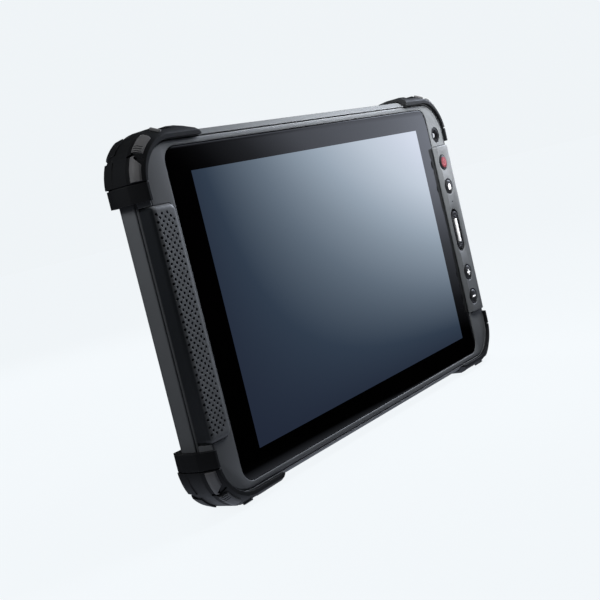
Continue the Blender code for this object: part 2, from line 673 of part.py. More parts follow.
def build_battery():
    half_x = PACK_W / 2
    pack = plate("battery_pack", rounded(half_x, PACK_H / 2, 0.8 * MM, 0.0, PACK_Z, 2),
                 PACK_NEAR, BODY_T - 0.1 * MM)
    latch_floor = BODY_T - LATCH_T - GAP - 0.2 * MM
    for side in (-1, 1):
        x = side * LATCH_X
        slot = TONGUE_W / 2 + GAP
        combine(pack, block("cut", x - slot, x + slot,
                            PACK_Z + PACK_H / 2 - TONGUE_BITE - GAP, PACK_Z + PACK_H / 2 + MM,
                            latch_floor, latch_floor + TONGUE_T + 2 * GAP))
    paint(pack, (0.03, 0.03, 0.032), 0.55)

    floor = PACK_NEAR - GAP - BAY_WALL
    terminal = block("battery_terminal", -TERMINAL_W / 2, TERMINAL_W / 2,
                     PACK_Z - TERMINAL_H / 2, PACK_Z + TERMINAL_H / 2, floor, PACK_NEAR - GAP)
    paint(terminal, (0.75, 0.6, 0.25), 0.3, 0.9)

    for side, name in ((-1, "left_battery_latch"), (1, "right_battery_latch")):
        x = side * LATCH_X
        near = latch_floor + GAP
        latch = block(name, x - LATCH_W / 2, x + LATCH_W / 2, LATCH_Z, LATCH_Z + LATCH_H, near,
                      near + LATCH_T)
        combine(latch, block("tongue", x - TONGUE_W / 2, x + TONGUE_W / 2,
                             PACK_Z + PACK_H / 2 - TONGUE_BITE, LATCH_Z + MM, near,
                             near + TONGUE_T), "UNION")
        combine(latch, block("cut", x - LATCH_W / 2 + 3 * MM, x + LATCH_W / 2 - 3 * MM,
                             LATCH_Z + 2.2 * MM, LATCH_Z + LATCH_H - 2.2 * MM,
                             near + LATCH_T - 0.8 * MM, near + LATCH_T + MM))
        paint(latch, (0.02, 0.02, 0.02), 0.5)
        move_origin(latch, (x, FACE_Y + BODY_T, LATCH_Z))


def build_electronics():
    low = MID_Z + BOARD_LOW
    high = MID_Z + BOARD_HIGH
    board = block("main_board", -BOARD_W / 2, BOARD_W / 2, low, high, BOARD_NEAR,
                  BOARD_NEAR + BOARD_T)
    paint(board, (0.02, 0.16, 0.07), 0.5)
    near = BOARD_NEAR + BOARD_T + GAP
    shield = block("processor_shield", -SHIELD_W / 2, SHIELD_W / 2, low + SHIELD_EDGE,
                   high - SHIELD_EDGE, near, near + SHIELD_T)
    paint(shield, (0.6, 0.6, 0.6), 0.35, 0.9)
    patch = block("gnss_antenna", BOARD_W / 2 - 2 * MM - PATCH, BOARD_W / 2 - 2 * MM,
                  high - PATCH, high, near, near + PATCH_T)
    paint(patch, (0.75, 0.72, 0.62), 0.6)
    strip = block("wifi_antenna", BOARD_W / 4 - STRIP_W / 2, BOARD_W / 4 + STRIP_W / 2,
                  high - STRIP_H, high, near, near + STRIP_T)
    paint(strip, (0.7, 0.4, 0.2), 0.4, 0.7)

    x, up = REAR_CAMERA
    z = MID_Z + up
    window = disc("rear_camera_window", x, z, REAR_WINDOW_D / 2, BODY_T - 1.0 * MM,
                  BODY_T - 0.2 * MM)
    paint(window, (0.01, 0.01, 0.012), 0.08)
    camera = disc("rear_camera", x, z, REAR_WINDOW_D / 2 - MM - GAP, near,
                  BODY_T - 1.0 * MM - GAP)
    paint(camera, (0.03, 0.03, 0.03), 0.5)
    lamp = disc("flash_lens", x + FLASH_OFFSET, z, FLASH_D / 2, BODY_T - WALL - 0.6 * MM,
                BODY_T - 0.1 * MM, 24)
    paint(lamp, (0.85, 0.83, 0.7), 0.2)


def build_screws():
    names = ["left_lower_screw", "left_upper_screw", "right_lower_screw", "right_upper_screw",
             "lower_left_screw", "upper_left_screw", "lower_right_screw", "upper_right_screw"]
    for name, (x, z) in zip(names, SCREW_SPOTS):
        far = BODY_T - 0.2 * MM
        seat = far - SCREW_HEAD_T
        screw = loft(name, [
            (disc_ring(x, z, SCREW_D / 2, 20), REAR_FRONT + 2 * GAP),
            (disc_ring(x, z, SCREW_D / 2, 20), seat),
            (disc_ring(x, z, SCREW_HEAD_D / 2, 20), seat),
            (disc_ring(x, z, SCREW_HEAD_D / 2, 20), far),
        ])
        combine(screw, disc("cut", x, z, 0.9 * MM, far - 0.7 * MM, far + MM, 6))
        paint(screw, (0.08, 0.08, 0.085), 0.35, 0.9)
        smooth(screw)


def bumper_ring(inset):
    half_x = HX + BUMPER_SIDE - inset
    half_z = HZ + BUMPER_EDGE - inset
    return rounded(half_x, half_z, BODY_R + BUMPER_SIDE - inset, steps=10)


def bumper(name, side, up):
    back = BODY_T + BUMPER_BACK
    solid = loft(name, [
        (bumper_ring(3.6 * MM), -BUMPER_FRONT),
        (bumper_ring(2.6 * MM), -BUMPER_FRONT + 0.8 * MM),
        (bumper_ring(0.3 * MM), BUMPER_CREASE - 0.5 * MM),
        (bumper_ring(0.0), BUMPER_CREASE),
        (bumper_ring(0.0), back - 6.2 * MM),
        (bumper_ring(1.1 * MM), back - 2.4 * MM),
        (bumper_ring(3.4 * MM), back),
    ])
    # the stretch of edge that this bumper covers, with slanted ends
    far = 30 * MM
    arm_x = HX - BUMPER_ARM_X
    arm_z = HZ - BUMPER_ARM_Z
    corner = [
        (arm_x, 0.0), (arm_x, HZ - 2 * MM), (arm_x + BUMPER_TAPER, HZ + BUMPER_EDGE + MM),
        (arm_x + BUMPER_TAPER, HZ + far), (HX + far, HZ + far), (HX + far, arm_z), (HX - MM, arm_z),
        (HX - LIP_X - 4 * MM, arm_z), (HX - LIP_X - 4 * MM, 0.0),
    ]
    region = plate("region", [(side * x, MID_Z + up * z) for x, z in corner],
                   -5 * MM, back + 5 * MM)
    combine(solid, region, "INTERSECT")
    low = HZ - LIP_Z - 10 * MM
    combine(solid, block("cut", *sorted((0.0, side * (HX - LIP_X - 2 * MM))),
                         *sorted((MID_Z - up * far, MID_Z + up * low)),
                         -9 * MM, back + 9 * MM))
    hollow = loft("hollow", [
        (bezel_ring(0.4 * MM), -5 * MM),
        (bezel_ring(0.9 * MM), 0.0),
        (body_ring(GAP), SLOPE_DEPTH),
    ] + back_rings(GAP))
    combine(solid, hollow)
    half_x = HX - LIP_X
    half_z = HZ - LIP_Z
    combine(solid, plate("window", rounded(half_x, half_z, 8 * MM), BACK_ARC, back + 5 * MM))
    paint(solid, (0.015, 0.015, 0.016), 0.75)
    smooth(solid)


def build_bumpers():
    bumper("upper_left_bumper", -1, 1)
    bumper("upper_right_bumper", 1, 1)
    bumper("lower_left_bumper", -1, -1)
    bumper("lower_right_bumper", 1, -1)


clear_scene()
build_screen()
build_front()
build_front_camera()
build_grille()
build_keys()
build_middle()
build_rear()
build_ports()
build_battery()
build_electronics()
build_screws()
build_bumpers()
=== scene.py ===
import bpy
import bmesh
import json
import math
from mathutils import Matrix, Vector

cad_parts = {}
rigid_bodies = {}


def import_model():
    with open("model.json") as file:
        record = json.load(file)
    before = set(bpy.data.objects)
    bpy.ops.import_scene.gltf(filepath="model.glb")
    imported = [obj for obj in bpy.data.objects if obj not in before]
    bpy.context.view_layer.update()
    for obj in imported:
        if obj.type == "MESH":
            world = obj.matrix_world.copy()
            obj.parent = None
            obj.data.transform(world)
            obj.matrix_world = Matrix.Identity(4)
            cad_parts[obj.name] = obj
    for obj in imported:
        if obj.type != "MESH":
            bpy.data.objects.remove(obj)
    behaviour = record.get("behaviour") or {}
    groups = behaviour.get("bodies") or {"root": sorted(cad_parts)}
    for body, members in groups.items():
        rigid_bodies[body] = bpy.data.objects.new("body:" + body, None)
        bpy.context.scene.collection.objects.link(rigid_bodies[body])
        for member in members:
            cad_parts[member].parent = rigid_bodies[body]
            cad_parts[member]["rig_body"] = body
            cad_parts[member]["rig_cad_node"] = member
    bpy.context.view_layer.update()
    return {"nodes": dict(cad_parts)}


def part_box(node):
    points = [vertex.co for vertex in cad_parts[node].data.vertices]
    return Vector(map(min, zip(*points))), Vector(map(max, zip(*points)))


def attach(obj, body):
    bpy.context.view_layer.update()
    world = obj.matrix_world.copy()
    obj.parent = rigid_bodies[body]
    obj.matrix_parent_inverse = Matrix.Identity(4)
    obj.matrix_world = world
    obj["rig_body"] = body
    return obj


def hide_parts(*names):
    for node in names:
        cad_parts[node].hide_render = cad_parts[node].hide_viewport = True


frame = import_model()
mm = 0.001
case = "case"

# Sizes below are millimetres: across from the middle, depth behind the glass face, up from the
# middle of the case.
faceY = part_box("front_bezel")[0].y
midZ = (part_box("rear_housing")[0].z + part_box("rear_housing")[1].z) / 2
gap = 0.3  # room round a piece that sits in a hole
# depths from and to which a cutter passes right through the front half, and the back half
throughFront = (-5, 12)
throughBack = (0, 30)


def at(across, depth, up):
    return Vector((across * mm, faceY + depth * mm, midZ + up * mm))


def local(co):
    return Vector((co.x / mm, (co.y - faceY) / mm, (co.z - midZ) / mm))


def span(node):
    low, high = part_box(node)
    low, high = local(low), local(high)
    return low.x, high.x, low.y, high.y, low.z, high.z


def middle(node):
    x0, x1, near, far, u0, u1 = span(node)
    return (x0 + x1) / 2, (u0 + u1) / 2


# modelling steps shared by all the pieces
def deselectAll():
    if bpy.context.object and bpy.context.object.mode != "OBJECT":
        bpy.ops.object.mode_set(mode="OBJECT")
    bpy.ops.object.select_all(action="DESELECT")


def activate(obj):
    deselectAll()
    obj.select_set(True)
    bpy.context.view_layer.objects.active = obj
    return obj


def settle(obj):
    activate(obj)
    bpy.ops.object.transform_apply(location=True, rotation=True, scale=True)
    return obj


def applyModifier(obj, mod):
    activate(obj)
    bpy.ops.object.modifier_apply(modifier=mod.name)
    return obj


def pick(obj, kind, test):
    # enters edit mode with the edges or faces that pass the test selected
    activate(obj)
    bpy.ops.object.mode_set(mode="EDIT")
    bpy.ops.mesh.select_mode(type=kind)
    bpy.ops.mesh.select_all(action="DESELECT")
    bm = bmesh.from_edit_mesh(obj.data)
    for item in (bm.edges if kind == "EDGE" else bm.faces):
        spots = [local(v.co) for v in item.verts]
        if test(spots) if kind == "EDGE" else test(spots, item.normal):
            item.select_set(True)
    bmesh.update_edit_mesh(obj.data)


def done():
    bpy.ops.object.mode_set(mode="OBJECT")


def level(spots, axis, value):
    return all(abs(s[axis] - value) < 0.004 for s in spots)


def runsAlong(spots, axis):
    return all(abs(spots[0][i] - spots[1][i]) < 0.004 for i in range(3) if i != axis)


def bevelEdges(obj, test, width, segments=3, profile=0.5):
    pick(obj, "EDGE", test)
    bpy.ops.mesh.bevel(offset=width * mm, segments=segments, affect="EDGES", profile=profile)
    done()
    return obj


def bevelAtDepth(obj, depth, width, segments=3, test=None):
    return bevelEdges(obj, lambda s: level(s, 1, depth) and (test is None or test(s)), width,
                      segments)


def box(name, x0, x1, d0, d1, u0, u1):
    deselectAll()
    low, high = at(x0, d0, u0), at(x1, d1, u1)
    bpy.ops.mesh.primitive_cube_add(size=1, location=(low + high) / 2)
    obj = bpy.context.object
    obj.name = name
    obj.scale = high - low
    return settle(obj)


def slab(name, x0, x1, d0, d1, u0, u1, radius, segments=16, test=None):
    # upright plate with rounded corners
    obj = box(name, x0, x1, d0, d1, u0, u1)
    return bevelEdges(obj, lambda s: runsAlong(s, 1) and (test is None or test(s)), radius,
                      segments)


def stadium(name, x, up, halfWidth, halfHeight, d0, d1):
    # upright plate with round ends
    return slab(name, x - halfWidth, x + halfWidth, d0, d1, up - halfHeight, up + halfHeight,
                halfWidth - 0.01, 16)


def disc(name, x, up, radius, d0, d1, segments=48):
    deselectAll()
    bpy.ops.mesh.primitive_cylinder_add(
        vertices=segments, radius=radius * mm, depth=(d1 - d0) * mm,
        location=at(x, (d0 + d1) / 2, up), rotation=(math.pi / 2, 0, 0))
    obj = bpy.context.object
    obj.name = name
    return settle(obj)


def cone(name, x, up, near, far, d0, d1, segments=48):
    # radius near at depth d0 and far at depth d1
    deselectAll()
    bpy.ops.mesh.primitive_cone_add(
        vertices=segments, radius1=near * mm, radius2=far * mm, depth=(d1 - d0) * mm,
        location=at(x, (d0 + d1) / 2, up), rotation=(-math.pi / 2, 0, 0))
    obj = bpy.context.object
    obj.name = name
    return settle(obj)


def combine(target, tool, how="DIFFERENCE"):
    mod = target.modifiers.new("combine", "BOOLEAN")
    if how == "UNION" and tool.data.materials:
        mod.material_mode = "TRANSFER"
    mod.operation = how
    mod.solver = "EXACT"
    mod.object = tool
    applyModifier(target, mod)
    bpy.data.objects.remove(tool, do_unlink=True)
    return target


def join(objects):
    deselectAll()
    for obj in objects:
        obj.select_set(True)
    bpy.context.view_layer.objects.active = objects[0]
    bpy.ops.object.join()
    return objects[0]


def recalc(obj):
    activate(obj)
    bpy.ops.object.mode_set(mode="EDIT")
    bpy.ops.mesh.select_all(action="SELECT")
    bpy.ops.mesh.remove_doubles(threshold=1e-6)
    bpy.ops.mesh.normals_make_consistent(inside=False)
    done()
    return obj


def trim(obj, place, normal):
    # cuts off what lies beyond a plane and closes the cut
    activate(obj)
    bpy.ops.object.mode_set(mode="EDIT")
    bpy.ops.mesh.select_all(action="SELECT")
    bpy.ops.mesh.bisect(plane_co=place, plane_no=normal, clear_outer=True, use_fill=True)
    done()
    return obj


def duplicate(source, name):
    obj = source.copy()
    obj.data = source.data.copy()
    obj.name = name
    bpy.context.collection.objects.link(obj)
    return obj


def shift(obj, across, up):
    obj.data.transform(Matrix.Translation((across * mm, 0, up * mm)))


def widenAndExtrude(obj, x, up, depth, wide, further):
    # a wider step behind the round face at this depth
    pick(obj, "FACE", lambda s, n: level(s, 1, depth))
    bpy.ops.mesh.extrude_region_move(TRANSFORM_OT_translate={"value": (0, 0, 0)})
    bpy.ops.transform.resize(value=(wide, 1, wide), center_override=at(x, depth, up))
    bpy.ops.mesh.extrude_region_move(TRANSFORM_OT_translate={"value": (0, further * mm, 0)})
    done()
    return obj


def bridgeSlabs(front, back, frontDepth, backDepth):
    # joins two plates with a sloping skirt between their facing sides
    obj = join([back, front])
    pick(obj, "FACE", lambda s, n: level(s, 1, frontDepth) or level(s, 1, backDepth))
    bpy.ops.mesh.delete(type="FACE")
    done()
    pick(obj, "EDGE", lambda s: level(s, 1, frontDepth) or level(s, 1, backDepth))
    bpy.ops.mesh.bridge_edge_loops()
    done()
    return recalc(obj)


def insetFace(obj, depth, inward, outward):
    # draws the flat face at this depth inwards and moves it out along its normal
    pick(obj, "FACE", lambda s, n: level(s, 1, depth) and abs(n.y) > 0.9)
    bpy.ops.mesh.inset(thickness=inward * mm, depth=outward * mm)
    done()
    return obj


def smooth(obj, angle=32):
    activate(obj)
    bpy.ops.object.shade_smooth_by_angle(angle=math.radians(angle))
    return obj


def dress(obj, finish, stands=(), body=case):
    if finish:
        obj.data.materials.clear()
        obj.data.materials.append(finish)
    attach(obj, body)
    if stands:
        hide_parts(*stands)
    return obj


def mirrored(source, name, flipX, flipUp):
    obj = duplicate(source, name)
    if flipX:
        obj.data.transform(Matrix.Scale(-1, 4, (1, 0, 0)))
    if flipUp:
        middle = Matrix.Translation((0, 0, midZ))
        obj.data.transform(middle @ Matrix.Scale(-1, 4, (0, 0, 1)) @ middle.inverted())
    return recalc(obj)


# finishes
def plainShader(name, colour, roughness, metallic=0.0):
    mat = bpy.data.materials.new(name)
    mat.use_nodes = True
    shader = mat.node_tree.nodes["Principled BSDF"]
    shader.inputs["Base Color"].default_value = (*colour, 1)
    shader.inputs["Roughness"].default_value = roughness
    shader.inputs["Metallic"].default_value = metallic
    return mat, mat.node_tree.nodes, mat.node_tree.links, shader


def noiseOn(nodes, links, scale, detail=2.0, roughness=0.5):
    coords = nodes.new("ShaderNodeTexCoord")
    noise = nodes.new("ShaderNodeTexNoise")
    noise.inputs["Scale"].default_value = scale
    noise.inputs["Detail"].default_value = detail
    noise.inputs["Roughness"].default_value = roughness
    links.new(coords.outputs["Object"], noise.inputs["Vector"])
    return noise.outputs["Fac"]


def remap(nodes, links, value, fromLow, fromHigh, low, high):
    node = nodes.new("ShaderNodeMapRange")
    for name, number in (("From Min", fromLow), ("From Max", fromHigh), ("To Min", low),
                         ("To Max", high)):
        node.inputs[name].default_value = number
    links.new(value, node.inputs["Value"])
    return node.outputs["Result"]


def blendColours(nodes, links, factor, a, b):
    mix = nodes.new("ShaderNodeMix")
    mix.data_type = "RGBA"
    for socket, value in ((mix.inputs["A"], a), (mix.inputs["B"], b)):
        if isinstance(value, bpy.types.NodeSocket):
            links.new(value, socket)
        else:
            socket.default_value = (*value, 1)
    links.new(factor, mix.inputs["Factor"])
    return mix.outputs["Result"]


def mathsIn(nodes, links):
    # gives a function that adds one maths node to this tree
    def maths(operation, a, b=None, clamp=False):
        node = nodes.new("ShaderNodeMath")
        node.operation = operation
        node.use_clamp = clamp
        for socket, value in zip(node.inputs, (a, b)):
            if isinstance(value, bpy.types.NodeSocket):
                links.new(value, socket)
            elif value is not None:
                socket.default_value = value
        return node.outputs[0]

    return maths


def rampWith(nodes, links, value, stops):
    ramp = nodes.new("ShaderNodeValToRGB")
    elements = ramp.color_ramp.elements
    while len(elements) < len(stops):
        elements.new(0.5)
    for element, (place, colour) in zip(elements, stops):
        element.position = place
        element.color = (*colour, 1)
    links.new(value, ramp.inputs["Fac"])
    return ramp.outputs["Color"]


def moulded(name, look):
    # fine grain, uneven gloss and tone, and paler rubbed edges
    mat, nodes, links, shader = plainShader(name, look["colour"], look["roughness"],
                                            look.get("metallic", 0.0))
    soft = nodes.new("ShaderNodeBevel")
    soft.samples = 4
    soft.inputs["Radius"].default_value = look.get("edge", 0.25) * mm
    bump = nodes.new("ShaderNodeBump")
    bump.inputs["Strength"].default_value = look["grain"]
    bump.inputs["Distance"].default_value = 0.1 * mm
    links.new(noiseOn(nodes, links, look["grainScale"], 3.0, 0.6), bump.inputs["Height"])
    links.new(soft.outputs["Normal"], bump.inputs["Normal"])
    links.new(bump.outputs["Normal"], shader.inputs["Normal"])
    marks = noiseOn(nodes, links, look["markScale"], 4.0, 0.65)
    low, high = look["roughness"] - look["marks"], look["roughness"] + look["marks"]
    links.new(remap(nodes, links, marks, 0.3, 0.7, low, high), shader.inputs["Roughness"])
    dark = [c * (1 - look["tone"]) for c in look["colour"]]
    light = [c * (1 + look["tone"]) for c in look["colour"]]
    colour = blendColours(nodes, links, remap(nodes, links, marks, 0.3, 0.7, 0, 1), dark, light)
    if look.get("wear"):
        geometry = nodes.new("ShaderNodeNewGeometry")
        turn = nodes.new("ShaderNodeVectorMath")
        turn.operation = "DOT_PRODUCT"
        links.new(geometry.outputs["Normal"], turn.inputs[0])
        links.new(soft.outputs["Normal"], turn.inputs[1])
        rubbed = remap(nodes, links, turn.outputs["Value"], 0.995, 0.9, 0, look["wear"])
        worn = [min(1, c * 1.8 + 0.015) for c in look["colour"]]
        colour = blendColours(nodes, links, rubbed, colour, worn)
    links.new(colour, shader.inputs["Base Color"])
    shader.inputs["Specular IOR Level"].default_value = look.get("specular", 0.5)
    # lit: emission on a part that is no lamp, a painted glow that brightens it whatever the light
    if look.get("lit"):
        shader.inputs["Emission Color"].default_value = (*look["colour"], 1)
        shader.inputs["Emission Strength"].default_value = look["lit"]
    return mat


finishes = {
    "caseGraphite": dict(colour=(0.095, 0.101, 0.107), roughness=0.45, marks=0.04, tone=0.05,
                         grain=0.25, grainScale=2400, markScale=40, wear=0.25),
    "bumperRubber": dict(colour=(0.009, 0.0095, 0.0102), roughness=0.5, marks=0.08, tone=0.12,
                         grain=0.3, grainScale=1700, markScale=70, wear=0.5, edge=0.35,
                         specular=0.22),
    # painted highlight: a paler, glossier copy of the bumper rubber for the pads and the ridge
    "padRubberPaintedHighlight": dict(colour=(0.1, 0.1, 0.102), roughness=0.4, marks=0.1, tone=0.15,
                      grain=0.25, grainScale=1400, markScale=90, wear=0.6, edge=0.35,
                      specular=0.7),
    "sealGrey": dict(colour=(0.05, 0.053, 0.056), roughness=0.6, marks=0.06, tone=0.08,
                     grain=0.3, grainScale=1500, markScale=60),
    "gasketBlack": dict(colour=(0.004, 0.004, 0.004), roughness=0.8, marks=0.05, tone=0.1,
                        grain=0.3, grainScale=1500, markScale=60),
    "keyBlack": dict(colour=(0.012, 0.012, 0.013), roughness=0.34, marks=0.05, tone=0.08,
                     grain=0.1, grainScale=2500, markScale=90),
    "keyRed": dict(colour=(0.115, 0.011, 0.018), roughness=0.36, marks=0.06, tone=0.1,
                   grain=0.1, grainScale=2500, markScale=120),
    # lit: the white legends glow faintly, painted brightness that no lamp gives
    "legendWhite": dict(colour=(0.86, 0.87, 0.88), roughness=0.4, marks=0.04, tone=0.03,
                        grain=0.05, grainScale=2500, markScale=120, edge=0.05, lit=0.5),
    "legendRose": dict(colour=(0.24, 0.08, 0.09), roughness=0.4, marks=0.04, tone=0.03,
                       grain=0.05, grainScale=2500, markScale=120, edge=0.05),
    "sensorBlack": dict(colour=(0.01, 0.01, 0.011), roughness=0.26, marks=0.06, tone=0.1,
                        grain=0.08, grainScale=3000, markScale=90, edge=0.12),
    "cameraBlack": dict(colour=(0.005, 0.005, 0.0055), roughness=0.3, marks=0.05, tone=0.1,
                        grain=0.12, grainScale=3000, markScale=90, edge=0.12),
    # lit: the steel strip glows, a painted highlight on the fingerprint strip
    "stripSteel": dict(colour=(0.9, 0.91, 0.92), roughness=0.32, marks=0.06, tone=0.05,
                       grain=0.05, grainScale=4000, markScale=300, metallic=0.25, edge=0.12,
                       lit=0.35),
    "portSteel": dict(colour=(0.6, 0.61, 0.62), roughness=0.3, marks=0.08, tone=0.06,
                      grain=0.06, grainScale=4000, markScale=200, metallic=1.0, edge=0.1),
    "screwSteel": dict(colour=(0.12, 0.12, 0.125), roughness=0.32, marks=0.08, tone=0.1,
                       grain=0.06, grainScale=4000, markScale=300, metallic=1.0, edge=0.1),
    "packGraphite": dict(colour=(0.05, 0.053, 0.056), roughness=0.5, marks=0.06, tone=0.08,
                         grain=0.4, grainScale=1700, markScale=35, wear=0.25),
    "latchBlack": dict(colour=(0.02, 0.02, 0.021), roughness=0.4, marks=0.06, tone=0.1,
                       grain=0.2, grainScale=2200, markScale=90, wear=0.3),
    "frameAlloy": dict(colour=(0.55, 0.56, 0.57), roughness=0.42, marks=0.08, tone=0.06,
                       grain=0.25, grainScale=2600, markScale=60, metallic=1.0),
    "boardGreen": dict(colour=(0.02, 0.14, 0.06), roughness=0.38, marks=0.08, tone=0.25,
                       grain=0.2, grainScale=900, markScale=260),
    "shieldTin": dict(colour=(0.62, 0.62, 0.6), roughness=0.34, marks=0.1, tone=0.08,
                      grain=0.12, grainScale=2000, markScale=120, metallic=1.0),
    "patchCeramic": dict(colour=(0.72, 0.68, 0.57), roughness=0.6, marks=0.06, tone=0.08,
                         grain=0.3, grainScale=1800, markScale=150),
    "antennaFoil": dict(colour=(0.75, 0.42, 0.22), roughness=0.35, marks=0.1, tone=0.1,
                        grain=0.12, grainScale=1500, markScale=200, metallic=1.0),
    "contactGold": dict(colour=(0.83, 0.62, 0.26), roughness=0.26, marks=0.08, tone=0.06,
                        grain=0.06, grainScale=3000, markScale=200, metallic=1.0, edge=0.08),
    "gasketRubber": dict(colour=(0.02, 0.021, 0.022), roughness=0.62, marks=0.06, tone=0.1,
                         grain=0.3, grainScale=1500, markScale=70),
    "membraneSilicone": dict(colour=(0.42, 0.42, 0.4), roughness=0.6, marks=0.06, tone=0.06,
                             grain=0.2, grainScale=1500, markScale=100),
}
paint = {name: moulded(name, look) for name, look in finishes.items()}


def lensGlass(name, colour, roughness):
    mat, nodes, links, shader = plainShader(name, colour, roughness)
    shader.inputs["Coat Weight"].default_value = 1.0
    shader.inputs["Coat Roughness"].default_value = 0.03
    links.new(remap(nodes, links, noiseOn(nodes, links, 400), 0.3, 0.7, roughness,
                    roughness + 0.06), shader.inputs["Roughness"])
    return mat


# painted reflection: the front lens is mid-grey for the pale reflection seen in its glass; the coat
# adds real reflection on top
paint["lensGrey"] = lensGlass("lensGrey", (0.22, 0.23, 0.25), 0.1)
paint["darkGlass"] = lensGlass("darkGlass", (0.004, 0.004, 0.006), 0.05)
paint["lampLens"] = lensGlass("lampLens", (0.75, 0.72, 0.55), 0.15)

# painted shade: near-black colour laid on the speaker cover's side, fading in between these two
# distances across
paintedSideShadeLook = {"colour": (0.009, 0.0105, 0.012), "outer": -112.9, "inner": -112.3}


def coverFinish():
    # graphite face that turns near-black where the cover wraps round the side: painted shade where
    # the side faces away from the light
    mat = moulded("coverGraphitePaintedSideShade", finishes["caseGraphite"])
    nodes, links = mat.node_tree.nodes, mat.node_tree.links
    socket = nodes["Principled BSDF"].inputs["Base Color"]
    face = socket.links[0].from_socket
    coords = nodes.new("ShaderNodeTexCoord")
    axes = nodes.new("ShaderNodeSeparateXYZ")
    links.new(coords.outputs["Object"], axes.inputs["Vector"])
    side = remap(nodes, links, axes.outputs["X"], paintedSideShadeLook["outer"] * mm,
                 paintedSideShadeLook["inner"] * mm, 1, 0)
    links.new(blendColours(nodes, links, side, face, paintedSideShadeLook["colour"]), socket)
    return mat


paint["coverGraphitePaintedSideShade"] = coverFinish()

# painted reflection: the unlit screen glows with a blue gradient, dark at the lower left and pale
# at the upper right, standing for studio light mirrored in the glass
screenLook = {
    "paintedReflectionWidth": 172.3, "paintedReflectionHeight": 107.7, "roughness": 0.05, "specular": 0.42,
    "black": (0.0006, 0.0005, 0.0006),
    "across": 100.0, "upward": 60.0,  # distances over which the painted reflection's brightness doubles
    "top": 3.4,  # how many times brighter than the middle the last colour is
    "sweep": [(0.0, (0.0150, 0.0210, 0.0390)), (0.115, (0.030, 0.046, 0.073)),
              (0.29, (0.112, 0.148, 0.193)), (0.53, (0.25, 0.31, 0.375)),
              (0.75, (0.41, 0.47, 0.54)), (1.0, (0.53, 0.57, 0.66))],
}


def screenFinish():
    look = screenLook
    mat, nodes, links, shader = plainShader("screenGlassPaintedReflection", look["black"], look["roughness"])
    shader.inputs["Specular IOR Level"].default_value = look["specular"]
    coords = nodes.new("ShaderNodeTexCoord")
    centred = nodes.new("ShaderNodeMapping")
    x, up = middle("touch_glass")
    centred.inputs["Location"].default_value = -at(x, 0, up)
    links.new(coords.outputs["Object"], centred.inputs["Vector"])
    axes = nodes.new("ShaderNodeSeparateXYZ")
    links.new(centred.outputs["Vector"], axes.inputs["Vector"])
    maths = mathsIn(nodes, links)
    inSide = maths("LESS_THAN", maths("ABSOLUTE", axes.outputs["X"]), look["paintedReflectionWidth"] / 2 * mm)
    inEdge = maths("LESS_THAN", maths("ABSOLUTE", axes.outputs["Z"]), look["paintedReflectionHeight"] / 2 * mm)
    across = maths("ADD", maths("DIVIDE", axes.outputs["X"], look["across"] * mm), 1.0)
    upward = maths("ADD", maths("DIVIDE", axes.outputs["Z"], look["upward"] * mm), 1.0)
    sweep = maths("MULTIPLY", maths("MAXIMUM", across, 0.0), maths("MAXIMUM", upward, 0.0))
    colour = rampWith(nodes, links, maths("DIVIDE", sweep, look["top"], clamp=True),
                      look["sweep"])
    # the painted reflection goes into the emission, only inside the display area
    glow = blendColours(nodes, links, maths("MULTIPLY", inSide, inEdge), (0, 0, 0), colour)
    links.new(glow, shader.inputs["Emission Color"])
    shader.inputs["Emission Strength"].default_value = 1.0
    links.new(remap(nodes, links, noiseOn(nodes, links, 14, 3.0, 0.6), 0.3, 0.7,
                    look["roughness"], look["roughness"] + 0.03), shader.inputs["Roughness"])
    return mat


paint["screenGlassPaintedReflection"] = screenFinish()
print("finishes ready")

cameraLook = {
    "place": (-0.38015, -0.26647, 0.10614), "lens": 62.5,
    "right": (0.57083, -0.78735, -0.23287), "up": (0.21421, -0.13099, 0.96797),
    "back": (-0.79263, -0.60243, 0.09389),
}


def makeCamera():
    look = cameraLook
    data = bpy.data.cameras.new("studioCamera")
    data.lens = look["lens"]
    data.sensor_width = 36
    data.clip_start = 0.01
    obj = bpy.data.objects.new("studioCamera", data)
    bpy.context.collection.objects.link(obj)
    turn = Matrix((look["right"], look["up"], look["back"])).transposed()
    obj.matrix_world = Matrix.Translation(look["place"]) @ turn.to_4x4()
    bpy.context.scene.camera = obj


floorLook = {
    "size": 30.0, "seen": (0.868, 0.905, 0.93),
    "shade": 0.035, "lit": 0.9,  # how much the shadow counts, and how pale its ground is
    "albedo": 0.12,  # what the object gets back from the floor
}


def makeFloor():
    look = floorLook
    deselectAll()
    bpy.ops.mesh.primitive_plane_add(size=look["size"], location=(0, 0, 0))
    floor = bpy.context.object
    floor.name = "floor"
    mat, nodes, links, shader = plainShader("paleFloor", [look["albedo"]] * 3, 0.95)
    shader.inputs["Specular IOR Level"].default_value = 0.05
    # seen directly it is an even pale sweep with a soft shadow
    soft = nodes.new("ShaderNodeBsdfDiffuse")
    soft.inputs["Color"].default_value = (*[c * look["lit"] for c in look["seen"]], 1)
    even = nodes.new("ShaderNodeEmission")
    even.inputs["Color"].default_value = (*look["seen"], 1)
    even.inputs["Strength"].default_value = 1 / (1 - look["shade"])
    sweep = nodes.new("ShaderNodeMixShader")
    sweep.inputs[0].default_value = look["shade"]
    links.new(even.outputs[0], sweep.inputs[1])
    links.new(soft.outputs[0], sweep.inputs[2])
    path = nodes.new("ShaderNodeLightPath")
    choice = nodes.new("ShaderNodeMixShader")
    links.new(path.outputs["Is Camera Ray"], choice.inputs[0])
    links.new(shader.outputs[0], choice.inputs[1])
    links.new(sweep.outputs[0], choice.inputs[2])
    links.new(choice.outputs[0], nodes["Material Output"].inputs["Surface"])
    floor.data.materials.append(mat)
    floor.visible_glossy = False  # mirrors see the soft light below instead


